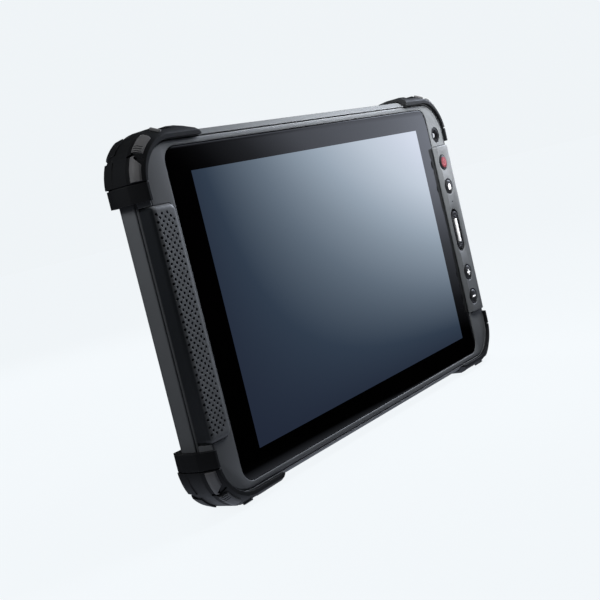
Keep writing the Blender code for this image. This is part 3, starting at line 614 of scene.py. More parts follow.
lightLook = {
    "tint": (0.86, 0.93, 1.1),
    "reach": 60.0,  # degrees from a distant lamp over which its fall-off is laid
    "fill": 0.04,  # soft light that only matt surfaces take up
    "skyFrom": 0.25, "skyTo": 0.8, "sky": 0.02,
    "glowFrom": -0.35, "glowTo": -0.6, "glow": 0.7,  # pale sweep mirrored in what faces down
    # distant lamps: direction, brightness, and fall-off by degrees from the middle
    "lamps": [
        dict(aim=(0.907, -0.193, 0.375), strength=10.3,
             fade=[(0, 1), (9, 1), (12, 0.098), (17, 0.108), (21, 0.1), (23, 0.078),
                   (27.5, 0.03), (33, 0.005), (36, 0)]),
        dict(aim=(-0.705, 0.531, 0.469), strength=0.25,
             fade=[(0, 0), (14, 0), (16, 1), (27, 1), (30, 0)]),
    ],
    # near lamps: where they stand, where they point, their size and their power
    "near": [
        dict(stand=(0.03, -0.08, 0.23), point=(0.02, 0, 0.13), size=0.06, watts=0.55),
        dict(stand=(0.115, -0.06, 0.19), point=(0.105, 0, 0.13), size=0.05, watts=0.2),
        dict(stand=(0.13, -0.038, 0.112), point=(0.108, 0, 0.10), size=0.03, watts=0.036),
        dict(stand=(-0.30, 0.03, 0.27), point=(-0.11, 0, 0.12), size=0.12, watts=0.45),
        dict(stand=(0.25, 0.55, 0.45), point=(0, 0, 0.07), size=0.5, watts=4.0),
    ],
}


def makeNearLamps():
    for look in lightLook["near"]:
        deselectAll()
        bpy.ops.object.light_add(type="AREA", location=look["stand"])
        lamp = bpy.context.object
        lamp.data.shape = "DISK"
        lamp.data.size = look["size"]
        lamp.data.energy = look["watts"]
        lamp.visible_camera = False
        lamp.visible_glossy = False  # mirrored, it would show as a disc in the glass
        way = Vector(look["point"]) - Vector(look["stand"])
        lamp.rotation_euler = way.to_track_quat("-Z", "Y").to_euler()


def makeWorld():
    look = lightLook
    world = bpy.data.worlds.new("studio")
    bpy.context.scene.world = world
    world.use_nodes = True
    nodes, links = world.node_tree.nodes, world.node_tree.links
    nodes.clear()
    maths = mathsIn(nodes, links)
    coords = nodes.new("ShaderNodeTexCoord")
    way = nodes.new("ShaderNodeVectorMath")
    way.operation = "NORMALIZE"
    links.new(coords.outputs["Generated"], way.inputs[0])
    axes = nodes.new("ShaderNodeSeparateXYZ")
    links.new(way.outputs[0], axes.inputs[0])
    path = nodes.new("ShaderNodeLightPath")
    sky = remap(nodes, links, axes.outputs["Z"], look["skyFrom"], look["skyTo"], 0, look["sky"])
    matt = maths("SUBTRACT", 1.0, path.outputs["Is Glossy Ray"])
    glow = remap(nodes, links, axes.outputs["Z"], look["glowFrom"], look["glowTo"], 0,
                 look["glow"])
    total = maths("ADD", maths("ADD", sky, glow), maths("MULTIPLY", matt, look["fill"]))
    for lamp in look["lamps"]:
        dot = nodes.new("ShaderNodeVectorMath")
        dot.operation = "DOT_PRODUCT"
        dot.inputs[1].default_value = Vector(lamp["aim"]).normalized()
        links.new(way.outputs[0], dot.inputs[0])
        angle = maths("ARCCOSINE", maths("MINIMUM", dot.outputs["Value"], 1.0))
        fade = rampWith(nodes, links, maths("DIVIDE", angle, math.radians(look["reach"])),
                        [(degrees / look["reach"], [share] * 3) for degrees, share in lamp["fade"]])
        total = maths("ADD", total, maths("MULTIPLY", fade, lamp["strength"]))
    studio = nodes.new("ShaderNodeBackground")
    studio.inputs["Color"].default_value = (*look["tint"], 1)
    links.new(total, studio.inputs["Strength"])
    seen = nodes.new("ShaderNodeBackground")
    seen.inputs["Color"].default_value = (*floorLook["seen"], 1)
    mix = nodes.new("ShaderNodeMixShader")
    links.new(path.outputs["Is Camera Ray"], mix.inputs[0])
    links.new(studio.outputs[0], mix.inputs[1])
    links.new(seen.outputs[0], mix.inputs[2])
    out = nodes.new("ShaderNodeOutputWorld")
    links.new(mix.outputs[0], out.inputs["Surface"])


makeCamera()
makeFloor()
makeWorld()
makeNearLamps()
bpy.context.scene.view_settings.view_transform = "Standard"
print("camera, floor and light ready")

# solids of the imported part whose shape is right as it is
carried = {
    "gasketBlack": ["glass_seal"],
    "frameAlloy": ["mid_frame"],
    "boardGreen": ["main_board", "key_board"],
    "shieldTin": ["processor_shield", "display_panel"],
    "patchCeramic": ["gnss_antenna"],
    "antennaFoil": ["wifi_antenna"],
    "membraneSilicone": ["key_membrane"],
    "cameraBlack": ["front_camera", "rear_camera", "upper_speaker", "lower_speaker"],
    "contactGold": ["battery_terminal"],
    "portSteel": ["port_cover_pin", "lower_usb_port", "upper_usb_port"],
    "latchBlack": ["headset_jack"],
}
for finish, names in carried.items():
    for name in names:
        node = frame["nodes"][name]
        node.data.materials.clear()
        node.data.materials.append(paint[finish])

bodyHalf = (span("rear_housing")[1], span("rear_housing")[5])
bodyRadius = 17.5
bezelHalf = (span("front_bezel")[1], span("front_bezel")[5])
bezelRadius = 15.55
glassLook = {"radius": 6.0, "edge": 0.25}


def makeGlass():
    near = span("touch_glass")[2]
    glass = slab("touchGlass", *span("touch_glass"), glassLook["radius"])
    bevelAtDepth(glass, near, glassLook["edge"], 2)
    smooth(glass)
    dress(glass, paint["screenGlassPaintedReflection"], ("touch_glass",))


sideLook = {
    "half": 44.0, "corner": 3.2, "seat": 5.3,  # seat: depth where a side panel meets the seam
    "grilleShoulder": 2.0, "grilleRound": 2.4, "keysShoulder": 0.45, "keysChamfer": 1.7,
    "skin": 1.8, "wall": 1.2,
}
keyLine = middle("home_key")[0]


def roundedHole(node, radius, d0, d1):
    # cutter for a hole that leaves the usual gap round a node
    x0, x1, near, far, u0, u1 = span(node)
    return slab("cut", x0 - gap, x1 + gap, d0, d1, u0 - gap, u1 + gap, radius + gap)


def sideNotch(inner, side, room):
    half = sideLook["half"] + room
    start = inner - side * room
    end = side * 120
    low, high = min(start, end), max(start, end)
    return slab("notch", low, high, *throughFront, -half, half, sideLook["corner"] + room, 8,
                lambda s: abs(s[0][0] - start) < 0.01)


frontLook = {
    "slopeFrom": 0.6, "slopeDepth": 4.0, "crease": 1.0, "backEdge": 0.25, "ledge": 2.4,
    "rim": 0.1,  # flat at the front of the slope
    "lip": 0.3, "roll": 0.6, "cameraHole": 4.0, "screenHoleRound": 1.5,
    "grilleRoom": 0.1, "keysRoom": 0.1, "bezelGrilleRoom": 0.05,
}


def makeFrontHousing():
    look = frontLook
    x0, x1, d0, d1, u0, u1 = span("front_housing")
    grow = look["slopeFrom"]
    front = slab("rim", -bezelHalf[0] - grow, bezelHalf[0] + grow, d0, d0 + look["rim"],
                 -bezelHalf[1] - grow, bezelHalf[1] + grow, bezelRadius + grow, 20)
    back = slab("frontHousing", x0, x1, look["slopeDepth"], d1, u0, u1, bodyRadius, 20)
    housing = bridgeSlabs(front, back, d0 + look["rim"], look["slopeDepth"])
    housing.name = "frontHousing"
    bevelAtDepth(housing, look["slopeDepth"], look["crease"], 4)
    bevelAtDepth(housing, d1, look["backEdge"], 2)
    combine(housing, roundedHole("front_bezel", bezelRadius, throughFront[0], look["ledge"]))
    combine(housing, roundedHole("display_panel", look["screenHoleRound"], *throughFront))
    combine(housing, sideNotch(span("speaker_grille")[1], -1, look["grilleRoom"]))
    combine(housing, sideNotch(span("key_panel")[0], 1, look["keysRoom"]))
    cameraRadius = span("front_camera")[1] - keyLine
    combine(housing, disc("cut", keyLine, middle("front_camera")[1], cameraRadius + gap,
                          *throughFront))
    smooth(housing)
    dress(housing, paint["caseGraphite"], ("front_housing",))


def makeBezel():
    look = frontLook
    x0, x1, d0, d1, u0, u1 = span("front_bezel")
    bezel = slab("frontBezel", x0, x1, d0, d1, u0, u1, bezelRadius, 20)
    bevelAtDepth(bezel, d0, look["roll"], 4)
    combine(bezel, roundedHole("touch_glass", glassLook["radius"], *throughFront))
    inside = span("touch_glass")

    def besideGlass(spots):
        return all(inside[0] - 1 < s[0] < inside[1] + 1 and inside[4] - 1 < s[2] < inside[5] + 1
                   for s in spots)

    bevelAtDepth(bezel, d0, look["lip"], 3, besideGlass)
    combine(bezel, sideNotch(span("speaker_grille")[1], -1, look["bezelGrilleRoom"]))
    combine(bezel, sideNotch(inside[1], 1, gap))
    combine(bezel, disc("cut", keyLine, middle("front_camera_ring")[1], look["cameraHole"],
                        *throughFront))
    smooth(bezel)
    dress(bezel, paint["caseGraphite"], ("front_bezel",))


sealLook = {"proud": 0.5, "wide": 1.6, "roll": 0.35}


def makeSeal():
    # soft strip in the seam between the two housings
    x0, x1, d0, d1, u0, u1 = span("housing_seal")
    radius = bodyRadius - (bodyHalf[0] - x1)
    proud, wide = sealLook["proud"], sealLook["wide"]
    seal = slab("housingSeal", x0 - proud, x1 + proud, d0, d1, u0 - proud, u1 + proud,
                radius + proud, 20)
    bevelEdges(seal, lambda s: level(s, 1, d0) or level(s, 1, d1), sealLook["roll"], 3)
    combine(seal, slab("cut", x0 + wide, x1 - wide, d0 - 1, d1 + 1, u0 + wide, u1 - wide,
                       radius - wide, 20))
    smooth(seal)
    dress(seal, paint["sealGrey"], ("housing_seal",))


makeGlass()
makeFrontHousing()
makeBezel()
makeSeal()
print("glass, bezel, front housing and seal ready")


def sidePanel(name, node, side, outerStep, shoulder):
    # cover beside the glass: rounded towards the glass and wrapped over the case side
    look = sideLook
    x0, x1, d0, d1, u0, u1 = span(node)
    outer, inner = (x0, x1) if side < 0 else (x1, x0)
    panel = box(name, x0, x1, d0, look["seat"], u0, u1)
    width, segments = outerStep
    bevelEdges(panel, lambda s: runsAlong(s, 2) and level(s, 0, outer) and level(s, 1, d0),
               width, segments)
    bevelEdges(panel, lambda s: runsAlong(s, 1) and level(s, 0, inner), look["corner"], 8)

    def shoulderEdge(spots):
        onFace = level(spots, 1, d0) and not level(spots, 0, outer - side * width)
        ends = level(spots, 2, u0) or level(spots, 2, u1)
        aroundEnd = ends and min(s[0] * side for s in spots) > abs(outer) - width - 0.01
        return (onFace or aroundEnd) and not level(spots, 1, look["seat"])

    bevelEdges(panel, shoulderEdge, shoulder, 5)
    wall = look["wall"]
    low, high = inner + side * wall, outer - side * look["skin"]
    combine(panel, box("cut", min(low, high), max(low, high), d0 + look["skin"],
                       look["seat"] + 2, u0 + wall, u1 - wall))
    return panel


grilleLook = {
    "columns": [-111.9, -110.6, -109.2, -107.8, -106.4, -105.0, -103.7],
    "endColumns": 3,  # holes in the shorter first and last rows
    "pitch": 1.4, "top": 40.7, "rows": 59, "radius": 0.55, "sides": 12,
    "meshOut": 0.1, "meshHalf": 42.6, "meshRoom": (0.02, 0.05),  # dust mesh behind the holes
}


def makeGrille():
    look = grilleLook
    d0 = span("speaker_grille")[2]
    cover = sidePanel("speakerGrille", "speaker_grille", -1, (sideLook["grilleRound"], 8),
                      sideLook["grilleShoulder"])
    pins = []
    for row in range(look["rows"]):
        up = look["top"] - row * look["pitch"]
        start = row % 2
        columns = look["columns"][start::2]
        if row in (0, look["rows"] - 1):
            columns = columns[:look["endColumns"]]
        pins += [(across, up) for across in columns]
    first = disc("pin", *pins[0], look["radius"], d0 - 1, d0 + 4, look["sides"])
    cutters = [first]
    for across, up in pins[1:]:
        cutters.append(duplicate(first, "pin"))
        shift(cutters[-1], across - pins[0][0], up - pins[0][1])
    combine(cover, join(cutters))
    smooth(cover, 25)
    dress(cover, paint["coverGraphitePaintedSideShade"], ("speaker_grille",))

    x0, x1, speakerFace = span("upper_speaker")[:3]
    out, half, (near, far) = look["meshOut"], look["meshHalf"], look["meshRoom"]
    mesh = slab("dustMesh", x0 - out, x1 + out, d0 + sideLook["skin"] + near, speakerFace - far,
                -half, half, 1.0, 4)
    dress(mesh, paint["gasketBlack"])


keyLook = {
    "keys": {"power": "power_key", "home": "home_key", "plus": "volume_up_key",
             "minus": "volume_down_key"},
    "roll": 0.95, "red": 2.5, "redDepth": 0.4, "flange": 0.5, "flangeDepth": 0.9,
    "hole": 0.4, "mouth": 0.8, "mouthDepth": 0.3,  # room round a key, and its chamfer
    "dish": 5.7, "dishFloor": 4.4, "dishDepth": 0.35,
    "mic": (14.6, 0.45),  # height and radius of the microphone hole
    "lip": 0.78, "lipBack": 0.9, "lipInside": 1.2, "lipEnds": 0.3, "lipRound": 0.7,
    "slopeTo": 100.9, "slopeFoot": -0.12,  # where the slope meets the face, and the lip's edge
}
swipeLook = {
    "scoop": (5.0, 13.6), "floor": (4.0, 11.2), "scoopDepth": 0.55, "roll": 0.35, "rim": 0.8,
    "recess": 0.45, "ribs": 3, "ribPitch": 0.95, "ribStart": 6.6, "ribWidth": 0.45,
    "ribTop": 0.08, "ribEdge": 0.12, "ribShortest": 0.63,
    "stripRoom": 0.2, "stripRound": 0.3, "stripEdge": 0.2,
}


def makeKeyPanel():
    look = keyLook
    d0 = span("key_panel")[2]
    panel = sidePanel("keyPanel", "key_panel", 1, (sideLook["keysChamfer"], 1),
                      sideLook["keysShoulder"])
    # lip that closes the gap to the glass, and a long gentle slope down to it
    inner, low, high = span("key_panel")[0], span("key_panel")[4], span("key_panel")[5]
    start, ends = inner - look["lip"], look["lipEnds"]
    lip = box("lip", start, inner + look["lipInside"], d0, look["lipBack"], low + ends,
              high - ends)
    bevelEdges(lip, lambda s: runsAlong(s, 1) and level(s, 0, start), look["lipRound"], 4)
    combine(panel, lip, "UNION")
    foot = look["slopeFoot"]
    trim(panel, at(start, foot, 0), Vector((d0 - foot, start - look["slopeTo"], 0)).normalized())
    for node in look["keys"].values():
        x, up = middle(node)
        radius = (span(node)[1] - span(node)[0]) / 2 - look["flange"]
        combine(panel, disc("cut", x, up, radius + look["hole"], d0 - 2, 6))
        combine(panel, cone("cut", x, up, radius + look["mouth"], radius + gap, d0 - 0.1,
                            d0 + look["mouthDepth"]))
    x, up = middle("power_key")
    combine(panel, cone("cut", x, up, look["dish"] + 0.2, look["dishFloor"], d0 - 0.1,
                        d0 + look["dishDepth"], 64))
    combine(panel, disc("cut", x, look["mic"][0], look["mic"][1], d0 - 2, 6, 20))
    x, up = middle("fingerprint_sensor")
    floor = d0 + swipeLook["scoopDepth"]
    top = stadium("top", x, up, *swipeLook["scoop"], d0 - 1, d0)
    low = stadium("low", x, up, *swipeLook["floor"], floor, 3)
    combine(panel, bridgeSlabs(top, low, d0, floor))
    smooth(panel, 28)
    dress(panel, paint["caseGraphite"], ("key_panel",))


legendLook = {
    "proud": 0.06, "sunk": 0.1,
    "stroke": (1.5, 0.38),  # half sizes of the bar in the plus and minus signs
    "wall": (1.15, 0.85), "wallDrop": 0.7,
    "roofHalf": 1.3, "ridge": 1.75, "eaves": 0.15,  # heights above the middle of the key
    "ring": (1.55, 1.15), "ringDrop": 0.15, "opening": 0.55, "stem": (0.2, 0.85), "stemRise": 0.95,
}


def legendBar(x, up, halfX, halfUp, face):
    return box("bar", x - halfX, x + halfX, face - legendLook["proud"],
               face + legendLook["sunk"], up - halfUp, up + halfUp)


def makeLegend(kind, x, up, face):
    # plain marks: power, home, plus and minus
    look = legendLook
    near, far = face - look["proud"], face + look["sunk"]
    long, short = look["stroke"]
    if kind == "plus":
        return [legendBar(x, up, long, short, face), legendBar(x, up, short, long, face)]
    if kind == "minus":
        return [legendBar(x, up, long, short, face)]
    if kind == "home":
        walls = legendBar(x, up - look["wallDrop"], *look["wall"], face)
        half = look["roofHalf"]
        roof = slab("roof", x - half, x + half, near, far, up - half, up + half, 0.01, 1)
        for normal in ((1, 0, 1), (-1, 0, 1)):
            trim(roof, at(x, 0, up + look["ridge"]), normal)
        trim(roof, at(x, 0, up + look["eaves"]), (0, 0, -1))
        return [walls, roof]
    outer, inner = look["ring"]
    ring = disc("ring", x, up - look["ringDrop"], outer, near, far, 32)
    combine(ring, disc("cut", x, up - look["ringDrop"], inner, face - 1, face + 1, 32))
    half = look["opening"]
    combine(ring, box("cut", x - half, x + half, face - 1, face + 1, up, up + 3))
    return [ring, legendBar(x, up + look["stemRise"], *look["stem"], face)]


def makeKeys():
    look = keyLook
    for kind, node in look["keys"].items():
        x0, x1, d0, d1 = span(node)[:4]
        x, up = middle(node)
        radius = (x1 - x0) / 2 - look["flange"]
        flangeDepth = look["flangeDepth"]
        key = disc(kind + "Key", x, up, radius, d0, flangeDepth, 64)
        bevelAtDepth(key, d0, look["roll"], 4)
        widenAndExtrude(key, x, up, flangeDepth, (radius + look["flange"]) / radius,
                        d1 - flangeDepth)
        key.data.materials.append(paint["keyBlack"])
        if kind == "power":
            key.data.materials.append(paint["keyRed"])
            for face in key.data.polygons:
                spot = local(face.center)
                near = spot.y < d0 + look["redDepth"]
                if near and math.hypot(spot.x - x, spot.z - up) < look["red"]:
                    face.material_index = 1
        marks = join(makeLegend(kind, x, up, d0))
        marks.data.materials.clear()
        marks.data.materials.append(paint["legendRose" if kind == "power" else "legendWhite"])
        key = join([key, marks])
        smooth(key, 30)
        dress(key, None, (node,), node)


def makeSwipeSensor():
    look = swipeLook
    x0, x1, d0, d1, u0, u1 = span("fingerprint_sensor")
    x, up = middle("fingerprint_sensor")
    radius = (x1 - x0) / 2
    sensor = slab("fingerprintSensor", x0, x1, d0, d1, u0, u1, radius - 0.01, 16)
    bevelAtDepth(sensor, d0, look["roll"], 3)
    rim = look["rim"]
    combine(sensor, slab("cut", x0 + rim, x1 - rim, d0 - 1, d0 + look["recess"], u0 + rim,
                         u1 - rim, radius - rim - 0.01, 16))
    ribs = []
    for end in (-1, 1):
        for i in range(look["ribs"]):
            place = up + end * (look["ribStart"] + i * look["ribPitch"])
            # shorter where the recess rounds off
            past = max(0.0, abs(place - up) - (u1 - u0) / 2 + radius)
            reach = math.sqrt(max(look["ribShortest"] ** 2, (radius - rim) ** 2 - past ** 2))
            top = d0 + look["ribTop"]
            rib = box("rib", x - reach, x + reach, top, d0 + look["recess"] + 0.2,
                      place - look["ribWidth"] / 2, place + look["ribWidth"] / 2)
            bevelAtDepth(rib, top, look["ribEdge"], 2)
            ribs.append(rib)
    for rib in ribs:
        combine(sensor, rib, "UNION")
    x0, x1, e0, e1, v0, v1 = span("fingerprint_strip")
    room = look["stripRoom"]
    combine(sensor, box("cut", x0 - room, x1 + room, d0 - 1, e1 + 0.1, v0 - room, v1 + room))
    smooth(sensor, 30)
    dress(sensor, paint["sensorBlack"], ("fingerprint_sensor",))
    strip = slab("fingerprintStrip", x0, x1, e0, e1, v0, v1, look["stripRound"], 4)
    bevelAtDepth(strip, e0, look["stripEdge"], 3)
    smooth(strip)
    dress(strip, paint["stripSteel"], ("fingerprint_strip",))


frontCameraLook = {"inner": 1.7, "mouth": 2.6, "step": 2.3, "stepDepth": 0.6, "bowl": 1.25,
                   "bowlStart": (2.0, 0.5), "edge": 0.2, "lensRise": 0.2, "lensRound": 0.6}


def makeFrontCamera():
    look = frontCameraLook
    x0, x1, d0, d1 = span("front_camera_ring")[:4]
    x, up = middle("front_camera_ring")
    ring = disc("frontCameraRing", x, up, (x1 - x0) / 2, d0, d1, 64)
    bevelAtDepth(ring, d0, look["edge"], 3)
    combine(ring, cone("cut", x, up, look["mouth"], look["step"], d0 - 0.05,
                       d0 + look["stepDepth"], 64))
    wide, deep = look["bowlStart"]
    combine(ring, cone("cut", x, up, wide, look["inner"], d0 + deep, d0 + look["bowl"], 64))
    combine(ring, disc("cut", x, up, look["inner"], d0, 5, 64))
    smooth(ring)
    dress(ring, paint["cameraBlack"], ("front_camera_ring",))
    x0, x1, d0, d1 = span("front_camera_lens")[:4]
    top = d0 - look["lensRise"]
    lens = disc("frontCameraLens", x, up, (x1 - x0) / 2, top, d1, 48)
    bevelAtDepth(lens, top, look["lensRound"], 6)
    smooth(lens, 60)
    dress(lens, paint["lensGrey"], ("front_camera_lens",))


makeGrille()
makeKeyPanel()
makeKeys()
makeSwipeSensor()
makeFrontCamera()
print("grille, keys, sensor and front camera ready")

# corner bumpers; across and up below are counted outwards from the middle of the case
pastX, pastUp, pastDepth = 140, 100, (-6, 25)  # a cutter that goes right past a bumper ends here
bumperLook = {
    "radius": 20.7,
    "crease": 5.0, "creaseInset": 0.3, "creaseRise": 0.5, "frontInset": 2.3, "lipInset": 1.0,
    "lipDepth": 0.8,
    "rearStart": 6.2, "rearStep": (1.1, 3.8), "rearEnd": (2.3, 2.4),
    "armX": 78.1, "armUp": 46.0, "armFoot": 2.0, "armSlant": (6.0, 5.5),
    "room": 0.3, "rimRoom": 0.5, "rearRound": 5.0,  # round the case
    "foot": 1.2, "line": 0.6, "lineDepth": 0.45,  # line just below the first pad
    # low stretches of the top arm, either side of a bright ridge
    "lowArms": [((89.0, 98.2), 1.3), ((99.6, 101.8), 0.9)], "lowSlope": 1.2, "lowTop": 90.0,
    # where the ridge and the notch beside it cross the front chamfer, in degrees
    "ridgeAt": 81.5, "ridgeEdge": 0.3,
    "ridge": dict(share=0.46, length=5.0, width=1.1, height=1.0, lift=-0.3),
    "notchAt": 77.3, "notch": dict(share=0.5, length=7.5, width=1.1, height=1.0, lift=0.1),
    "tipFrom": 85.0, "tipSlope": 0.27,
    "window": (10.0, 8.0, 8.0), "windowFrom": 12.4,  # opening behind: room in from the case
}


def bumperShell(less=0.0):
    # whole rounded ring that the four corners are cut from
    look = bumperLook
    outX, outUp = span("upper_right_bumper")[1] - less, span("upper_right_bumper")[5] - less
    near, far = span("upper_right_bumper")[2:4]
    near, far = near + less, far - less
    back = far - look["rearStart"]
    shell = slab("bumper", -outX, outX, look["crease"], back, -outUp, outUp, look["radius"], 28)
    insetFace(shell, look["crease"], look["creaseInset"], look["creaseRise"])
    start = look["crease"] - look["creaseRise"]
    insetFace(shell, start, look["frontInset"], start - near - look["lipDepth"])
    insetFace(shell, near + look["lipDepth"], look["lipInset"], look["lipDepth"])
    insetFace(shell, back, *look["rearStep"])
    insetFace(shell, back + look["rearStep"][1], look["rearEnd"][0], look["rearEnd"][1])
    return shell


def caseHollow():
    # the case's own outside, a little enlarged
    room, wide = bumperLook["room"], bumperLook["rimRoom"]
    bezel = slab("rim", -bezelHalf[0] - wide, bezelHalf[0] + wide, throughFront[0], 0,
                 -bezelHalf[1] - wide, bezelHalf[1] + wide, bezelRadius + wide, 20)
    x0, x1, d0, d1, u0, u1 = span("rear_housing")
    body = slab("hollow", x0 - room, x1 + room, frontLook["slopeDepth"], d1 + room, u0 - room,
                u1 + room, bodyRadius + room, 20)
    bevelAtDepth(body, d1 + room, bumperLook["rearRound"] + room, 8)
    return bridgeSlabs(bezel, body, 0, frontLook["slopeDepth"])


def cornerRegion():
    # the stretch of edge that one bumper covers, with its arm along the top slanted
    look = bumperLook
    region = box("region", look["armX"], pastX, *pastDepth, look["armUp"], pastUp)
    rise, run = look["armSlant"]
    return trim(region, at(look["armX"], 0, bodyHalf[1] - look["armFoot"]),
                Vector((-1, 0, rise / run)).normalized())


cornerMiddle = (bodyHalf[0] - bodyRadius, bodyHalf[1] - bodyRadius)


def turnedBar(name, start, stop, points):
    # bar that follows the corner's curve: a section of (radius, depth) points swept about
    # the corner's axis, from one angle to the other in degrees
    deselectAll()
    bpy.ops.mesh.primitive_circle_add(vertices=len(points), fill_type="NGON", radius=1)
    bar = bpy.context.object
    bar.name = name
    turn = math.radians(start)
    for vert, (radius, depth) in zip(bar.data.vertices, points):
        vert.co = at(cornerMiddle[0] + radius * math.cos(turn), depth,
                     cornerMiddle[1] + radius * math.sin(turn))
    bar.matrix_world = Matrix.Identity(4)
    activate(bar)
    bpy.ops.object.mode_set(mode="EDIT")
    bpy.ops.mesh.select_all(action="SELECT")
    bpy.ops.mesh.spin(steps=max(2, round(abs(stop - start) / padLook["stepDegrees"])),
                      angle=math.radians(stop - start),
                      center=at(cornerMiddle[0], 0, cornerMiddle[1]), axis=(0, 1, 0))
    done()
    return recalc(bar)


def chamferSection():
    # the front chamfer: its inner edge as (radius, depth), and the way from there to its outer edge
    look = bumperLook
    outer = look["radius"] - look["creaseInset"]
    near = span("upper_right_bumper")[2] + look["lipDepth"]
    reach = Vector((look["frontInset"], look["crease"] - look["creaseRise"] - near))
    return Vector((outer - look["frontInset"], near)), reach


def chamferFrame(degrees, share):
    # place on the front chamfer, and its outward, along and across directions
    base, reach = chamferSection()
    radius, depth = base + reach * share
    turn = math.radians(degrees)
    radial = Vector((math.cos(turn), 0, math.sin(turn)))
    across = (radial * reach.x + Vector((0, reach.y, 0))).normalized()
    along = Vector((-math.sin(turn), 0, math.cos(turn)))
    out = along.cross(across).normalized()
    if out.dot(radial) < 0:
        out = -out
    place = at(cornerMiddle[0], depth, cornerMiddle[1]) + radial * radius * mm
    return place, out, along, across


def chamferBar(name, degrees, share, length, width, height, slant=0.0, lift=0.0):
    # straight bar lying on the chamfer: long way across it, turned by slant degrees
    place, out, along, across = chamferFrame(degrees, share)
    deselectAll()
    bpy.ops.mesh.primitive_cube_add(size=1)
    bar = bpy.context.object
    bar.name = name
    bar.scale = Vector((length, width, height)) * mm
    settle(bar)
    turn = Matrix((across, along, out)).transposed().to_4x4()
    lean = Matrix.Rotation(math.radians(slant), 4, "Z")
    bar.data.transform(Matrix.Translation(place + out * lift * mm) @ turn @ lean)
    return recalc(bar)


padLook = {
    # raised pads on the front chamfer: (from, to) in degrees round the corner
    "first": (4.5, 31.5), "second": (36.5, 61.0), "inner": 0.03, "outer": 0.8,
    "rise": 0.5, "bulge": 0.35, "shoulder": 0.1, "sunk": 1.2, "stepDegrees": 3.0,
    "rear": [(3.0, 30.0), (38.0, 62.0)],
    # section of the rear pads: radius and depth from the bumper's outer and rear edges
    "rearSection": [(-1.5, -7.2), (-0.02, -7.2), (-0.02, -6.4), (-0.6, -2.5), (-1.9, -1.0),
                    (-4.0, -1.2)],
    # chevron groove and slanted pad ends, by degrees from the middle of the space between pads
    "cuts": [(-1.5, dict(share=0.36, length=5.6, width=0.9, height=2.2, slant=24)),
             (-0.6, dict(share=0.86, length=2.6, width=0.9, height=2.2, slant=-30)),
             (-6.2, dict(share=0.1, length=4.6, width=2.2, height=2.2, slant=38, lift=0.75))],
    "lines": [38.0, 41.0, 44.0],  # fine lines across the second pad, in degrees
    "line": dict(share=0.5, length=7.0, width=0.35, height=0.7, lift=0.75),
}


def chamferPad(start, stop):
    look = padLook
    base, reach = chamferSection()
    normal = Vector((reach.y, -reach.x)).normalized()
    inner, outer, shoulder, rise = look["inner"], look["outer"], look["shoulder"], look["rise"]
    section = [(inner, -look["sunk"]), (inner, 0.0), (inner + shoulder, rise),
               (0.5, rise + look["bulge"]), (outer - shoulder, rise), (outer, 0.0),
               (outer, -look["sunk"])]
    points = [base + reach * share + normal * lift for share, lift in section]
    return turnedBar("pad", start, stop, points)


def rearPad(start, stop):
    edge = Vector((bumperLook["radius"], span("upper_right_bumper")[3]))
    points = [edge + Vector(point) for point in padLook["rearSection"]]
    return turnedBar("rearPad", start, stop, points)


def makeBumpers():
    look = bumperLook
    outUp = span("upper_right_bumper")[5]
    bumper = bumperShell()
    combine(bumper, cornerRegion(), "INTERSECT")

    # raised pads, with a black chevron groove between them and a ridge further up; pads and ridge
    # take a paler, glossier rubber as painted highlight
    bumper.data.materials.clear()
    bumper.data.materials.append(paint["bumperRubber"])
    for limits in (padLook["first"], padLook["second"]):
        pad = chamferPad(*limits)
        pad.data.materials.append(paint["padRubberPaintedHighlight"])
        combine(bumper, pad, "UNION")
    for limits in padLook["rear"]:
        combine(bumper, rearPad(*limits), "UNION")
    split = (padLook["first"][1] + padLook["second"][0]) / 2
    for turn, bar in padLook["cuts"]:
        combine(bumper, chamferBar("cut", split + turn, **bar))
    for degrees in padLook["lines"]:
        combine(bumper, chamferBar("cut", degrees, **padLook["line"]))
    ridge = chamferBar("ridge", look["ridgeAt"], **look["ridge"])
    bevelEdges(ridge, lambda s: True, look["ridgeEdge"], 2)
    ridge.data.materials.append(paint["padRubberPaintedHighlight"])
    combine(bumper, ridge, "UNION")
    combine(bumper, chamferBar("cut", look["notchAt"], **look["notch"]))

    # line at the foot of the pads, low stretches of the top arm, and its tapered tip
    foot = cornerMiddle[1] + look["foot"]
    groove = box("cut", 100, pastX, *pastDepth, foot - look["line"], foot)
    combine(bumper, combine(groove, bumperShell(look["lineDepth"])))
    for (start, stop), deep in look["lowArms"]:
        low = box("cut", start, stop, *pastDepth, outUp - deep, look["lowTop"])
        pick(low, "FACE", lambda s, n: level(s, 2, outUp - deep))
        bpy.ops.transform.resize(value=(1 - look["lowSlope"] / (stop - start), 1, 1),
                                 center_override=at((start + stop) / 2, 0, outUp))
        done()
        combine(bumper, low)
    trim(bumper, at(look["tipFrom"], 0, outUp), (-look["tipSlope"], 0, 1))
    combine(bumper, caseHollow())
    inX, inUp, radius = look["window"]
    combine(bumper, slab("cut", -bodyHalf[0] + inX, bodyHalf[0] - inX, look["windowFrom"],
                         pastDepth[1], -bodyHalf[1] + inUp, bodyHalf[1] - inUp, radius))
    recalc(bumper)
    corners = [("upperRightBumper", "upper_right_bumper", False, False),
               ("upperLeftBumper", "upper_left_bumper", True, False),
               ("lowerRightBumper", "lower_right_bumper", False, True),
               ("lowerLeftBumper", "lower_left_bumper", True, True)]
    for name, node, flipX, flipUp in corners:
        piece = mirrored(bumper, name, flipX, flipUp)
        smooth(piece, 30)
        dress(piece, None, (node,))
    bpy.data.objects.remove(bumper, do_unlink=True)


makeBumpers()
print("bumpers ready")

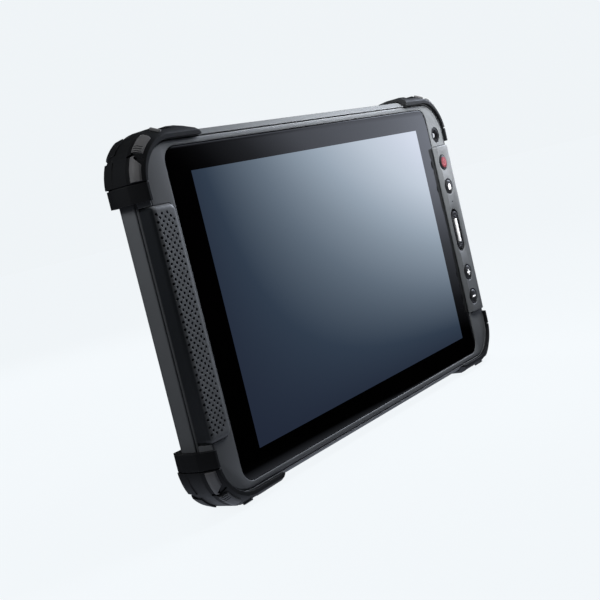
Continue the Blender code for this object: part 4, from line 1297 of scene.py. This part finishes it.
# battery side and fittings
rearLook = {
    "ribsX": (67.0, 96.0), "ribsUp": (-38.0, 32.0), "ribPitch": 5.0, "ribWidth": 1.5,
    "ribDepth": 0.5, "ribRound": 0.7,
    "island": (-88.0, -58.5, 41.0, 59.0), "islandRise": 0.7, "islandRadius": 8.5,
    "islandEdge": 0.5, "islandSunk": 1.0,
    "line": 0.5, "lineDepth": 0.5, "lineOut": 2.6, "lineRound": 3.0, "latchRoom": 2.5,
}


def solidCopy(node, name):
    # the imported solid's own shape, merged from loose triangles into flat faces
    obj = duplicate(frame["nodes"][node], name)
    obj.parent = None
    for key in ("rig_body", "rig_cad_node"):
        if key in obj:
            del obj[key]
    activate(obj)
    bpy.ops.object.mode_set(mode="EDIT")
    bpy.ops.mesh.select_all(action="SELECT")
    bpy.ops.mesh.remove_doubles(threshold=1e-6)
    bpy.ops.mesh.dissolve_limited(angle_limit=math.radians(0.5))
    done()
    return obj


def makeRearHousing():
    look = rearLook
    back = span("rear_housing")[3]
    housing = solidCopy("rear_housing", "rearHousing")
    x0, x1, u0, u1 = look["island"]
    island = slab("island", x0, x1, back - look["islandSunk"], back + look["islandRise"], u0, u1,
                  look["islandRadius"])
    bevelAtDepth(island, back + look["islandRise"], look["islandEdge"], 3)
    for node in ("rear_camera_window", "flash_lens"):
        x, up = middle(node)
        radius = (span(node)[1] - span(node)[0]) / 2
        combine(island, disc("cut", x, up, radius + gap, *throughBack))
    combine(housing, island, "UNION")
    cutters = []
    up = look["ribsUp"][0]
    while up < look["ribsUp"][1]:
        for side in (-1, 1):
            low, high = sorted((side * look["ribsX"][0], side * look["ribsX"][1]))
            cutters.append(slab("rib", low, high, back - look["ribDepth"], back + 2, up,
                                up + look["ribWidth"], look["ribRound"], 3))
        up += look["ribPitch"]
    combine(housing, join(cutters))
    # line moulded round the battery bay
    x0, x1, d0, d1, u0, u1 = span("battery_pack")
    out, radius, room = look["lineOut"], look["lineRound"], look["latchRoom"]
    ring = slab("ring", x0 - out, x1 + out, back - look["lineDepth"], back + 2, u0 - out,
                u1 + out, radius, 6)
    inside = out - look["line"]
    combine(ring, slab("cut", x0 - inside, x1 + inside, back - 3, back + 4, u0 - inside,
                       u1 + inside, radius - look["line"], 6))
    for node in ("left_battery_latch", "right_battery_latch"):
        latch = span(node)
        combine(ring, box("cut", latch[0] - room, latch[1] + room, *throughBack, u1, u1 + 30))
    combine(housing, ring)
    smooth(housing, 28)
    dress(housing, paint["caseGraphite"], ("rear_housing",))


packLook = {
    "corner": 0.8, "edge": 0.5,
    "panel": (-44.0, 44.0, -40.0, -8.0), "panelDepth": 0.35, "panelRound": 3.0,
    "grips": 5, "gripX": 26.0, "gripFrom": -5.0, "gripPitch": 2.4, "gripLength": 26.0,
    "gripWidth": 1.1, "gripDepth": 0.45, "gripRound": 0.5,
    "pocketHalf": 4.3, "pocketDepth": 1.5,  # where a latch's tongue goes in
}


def makeBattery():
    look = packLook
    x0, x1, d0, d1, u0, u1 = span("battery_pack")
    pack = slab("batteryPack", x0, x1, d0, d1, u0, u1, look["corner"], 4)
    bevelAtDepth(pack, d1, look["edge"], 3)
    p0, p1, v0, v1 = look["panel"]
    combine(pack, slab("cut", p0, p1, d1 - look["panelDepth"], d1 + 2, v0, v1,
                       look["panelRound"], 6))
    grips = []
    for x in (-look["gripX"], look["gripX"]):
        for i in range(look["grips"]):
            up = look["gripFrom"] + i * look["gripPitch"]
            grips.append(slab("grip", x - look["gripLength"] / 2, x + look["gripLength"] / 2,
                              d1 - look["gripDepth"], d1 + 2, up, up + look["gripWidth"],
                              look["gripRound"], 3))
    combine(pack, join(grips))
    for node in ("left_battery_latch", "right_battery_latch"):
        x, near, low = middle(node)[0], span(node)[2], span(node)[4]
        half = look["pocketHalf"]
        combine(pack, box("cut", x - half, x + half, near - gap, near + look["pocketDepth"],
                          low - gap, u1 + 2))
    smooth(pack, 30)
    dress(pack, paint["packGraphite"], ("battery_pack",))


latchLook = {
    "height": 8.4, "corner": 1.2, "edge": 0.4,
    "dish": (2.6, 1.7), "dishDepth": 0.9, "dishRound": 1.0,
    "ribs": 4, "ribPitch": 1.2, "ribWidth": 0.7, "ribInset": 4.2, "ribRange": (1.1, 0.25),
    "tongueHalf": 4.0, "tongueDepth": 1.2, "overlap": 1.0,
}


def makeLatches():
    look = latchLook
    for node, name in (("left_battery_latch", "leftBatteryLatch"),
                       ("right_battery_latch", "rightBatteryLatch")):
        x0, x1, d0, d1, u0, u1 = span(node)
        x = (x0 + x1) / 2
        low = u1 - look["height"]
        latch = slab(name, x0, x1, d0, d1, low, u1, look["corner"], 5)
        bevelAtDepth(latch, d1, look["edge"], 3)
        inX, inUp = look["dish"]
        combine(latch, slab("cut", x0 + inX, x1 - inX, d1 - look["dishDepth"], d1 + 2,
                            low + inUp, u1 - inUp, look["dishRound"], 4))
        foot, top = look["ribRange"]
        inset, half = look["ribInset"], look["ribWidth"] / 2
        for i in range(look["ribs"]):
            up = low + look["height"] / 2 + (i - (look["ribs"] - 1) / 2) * look["ribPitch"]
            combine(latch, box("rib", x0 + inset, x1 - inset, d1 - foot, d1 - top, up - half,
                               up + half), "UNION")
        half = look["tongueHalf"]
        combine(latch, box("tongue", x - half, x + half, d0, d0 + look["tongueDepth"], u0,
                           low + look["overlap"]), "UNION")
        smooth(latch, 30)
        dress(latch, paint["latchBlack"], (node,), node)


rearCameraLook = {"edge": 0.3, "dish": (2.2, 3.0), "dishDepth": 0.3, "lampRound": 0.6}


def makeRearCamera():
    look = rearCameraLook
    x0, x1, d0, d1 = span("rear_camera_window")[:4]
    x, up = middle("rear_camera_window")
    window = disc("rearCameraWindow", x, up, (x1 - x0) / 2, d0, d1, 64)
    bevelAtDepth(window, d1, look["edge"], 3)
    combine(window, cone("cut", x, up, *look["dish"], d1 - look["dishDepth"], d1 + 0.1, 64))
    smooth(window)
    dress(window, paint["darkGlass"], ("rear_camera_window",))
    x0, x1, d0, d1 = span("flash_lens")[:4]
    x, up = middle("flash_lens")
    lamp = disc("flashLens", x, up, (x1 - x0) / 2, d0, d1, 48)
    bevelAtDepth(lamp, d1, look["lampRound"], 5)
    smooth(lamp, 60)
    dress(lamp, paint["lampLens"], ("flash_lens",))


flapLook = {
    "inset": 0.7, "from": 5.0, "to": 1.2, "line": 0.35, "lineDepth": 0.25,
    "grips": 3, "gripFrom": 3.4, "gripPitch": 1.3, "gripHalf": 0.3, "gripInset": 1.5,
    "gripDepth": 0.35,
}


def makePortCover():
    # rubber flap over the ports, with an outline groove and grip lines at its free end
    look = flapLook
    x0, x1, d0, d1, u0, u1 = span("port_cover")
    flap = solidCopy("port_cover", "portCover")
    near, far = d0 + look["inset"], d1 - look["inset"]
    low, high, line = u0 + look["from"], u1 - look["to"], look["line"]
    outline = box("ring", x1 - look["lineDepth"], x1 + 1, near, far, low, high)
    combine(outline, box("cut", x1 - 3, x1 + 3, near + line, far - line, low + line, high - line))
    combine(flap, outline)
    inset, half = look["gripInset"], look["gripHalf"]
    for i in range(look["grips"]):
        up = u1 - look["gripFrom"] - i * look["gripPitch"]
        combine(flap, box("cut", x1 - look["gripDepth"], x1 + 1, d0 + inset, d1 - inset, up - half,
                          up + half))
    smooth(flap, 30)
    dress(flap, paint["gasketRubber"], ("port_cover",), "port_cover")


dockLook = {
    "slotHalf": 12.5, "slotDepth": 1.6, "slotWall": 1.1,
    "pins": 10, "pitch": 2.2, "pinWidth": 0.9, "pinInset": 1.7, "pinFrom": 0.5,
    "pinInto": 0.3, "pinEdge": 0.2,
}


def makeDockConnector():
    look = dockLook
    x0, x1, d0, d1, u0, u1 = span("dock_connector")
    dock = box("dockConnector", x0, x1, d0, d1, u0, u1)
    wall, inset, tip = look["slotWall"], look["pinInset"], u0 + look["pinFrom"]
    combine(dock, box("cut", -look["slotHalf"], look["slotHalf"], d0 + wall, d1 - wall, u0 - 1,
                      u0 + look["slotDepth"]))
    dock.data.materials.append(paint["latchBlack"])
    pins = []
    for i in range(look["pins"]):
        x = (i - (look["pins"] - 1) / 2) * look["pitch"]
        pin = box("pin", x - look["pinWidth"] / 2, x + look["pinWidth"] / 2, d0 + inset,
                  d1 - inset, tip, u0 + look["slotDepth"] + look["pinInto"])
        bevelEdges(pin, lambda s: level(s, 2, tip), look["pinEdge"], 2)
        pins.append(pin)
    pins = join(pins)
    pins.data.materials.clear()
    pins.data.materials.append(paint["contactGold"])
    dock = join([dock, pins])
    smooth(dock, 30)
    dress(dock, None, ("dock_connector",))


screwLook = {"head": 1.2, "headEdge": 0.3, "socket": 0.95, "socketDepth": 0.7}
screwNodes = [words + "_screw" for words in
              ("left_lower", "left_upper", "right_lower", "right_upper", "lower_left",
               "upper_left", "lower_right", "upper_right")]


def makeScrews():
    look = screwLook
    first = screwNodes[0]
    x0, x1, d0, d1 = span(first)[:4]
    x, up = middle(first)
    head = (x1 - x0) / 2
    seat = d1 - look["head"]
    screw = disc("screw", x, up, head / 2, d0, seat, 32)
    widenAndExtrude(screw, x, up, seat, 2, d1 - seat)
    bevelAtDepth(screw, d1, look["headEdge"], 3)
    combine(screw, disc("cut", x, up, look["socket"], d1 - look["socketDepth"], d1 + 1, 6))
    smooth(screw, 30)
    for node in screwNodes:
        words = node.split("_")
        piece = duplicate(screw, words[0] + words[1].capitalize() + "Screw")
        across, high = middle(node)
        shift(piece, across - x, high - up)
        dress(piece, paint["screwSteel"], (node,))
    bpy.data.objects.remove(screw, do_unlink=True)


makeRearHousing()
makeBattery()
makeLatches()
makeRearCamera()
makePortCover()
makeDockConnector()
makeScrews()
print("battery side and fittings ready")
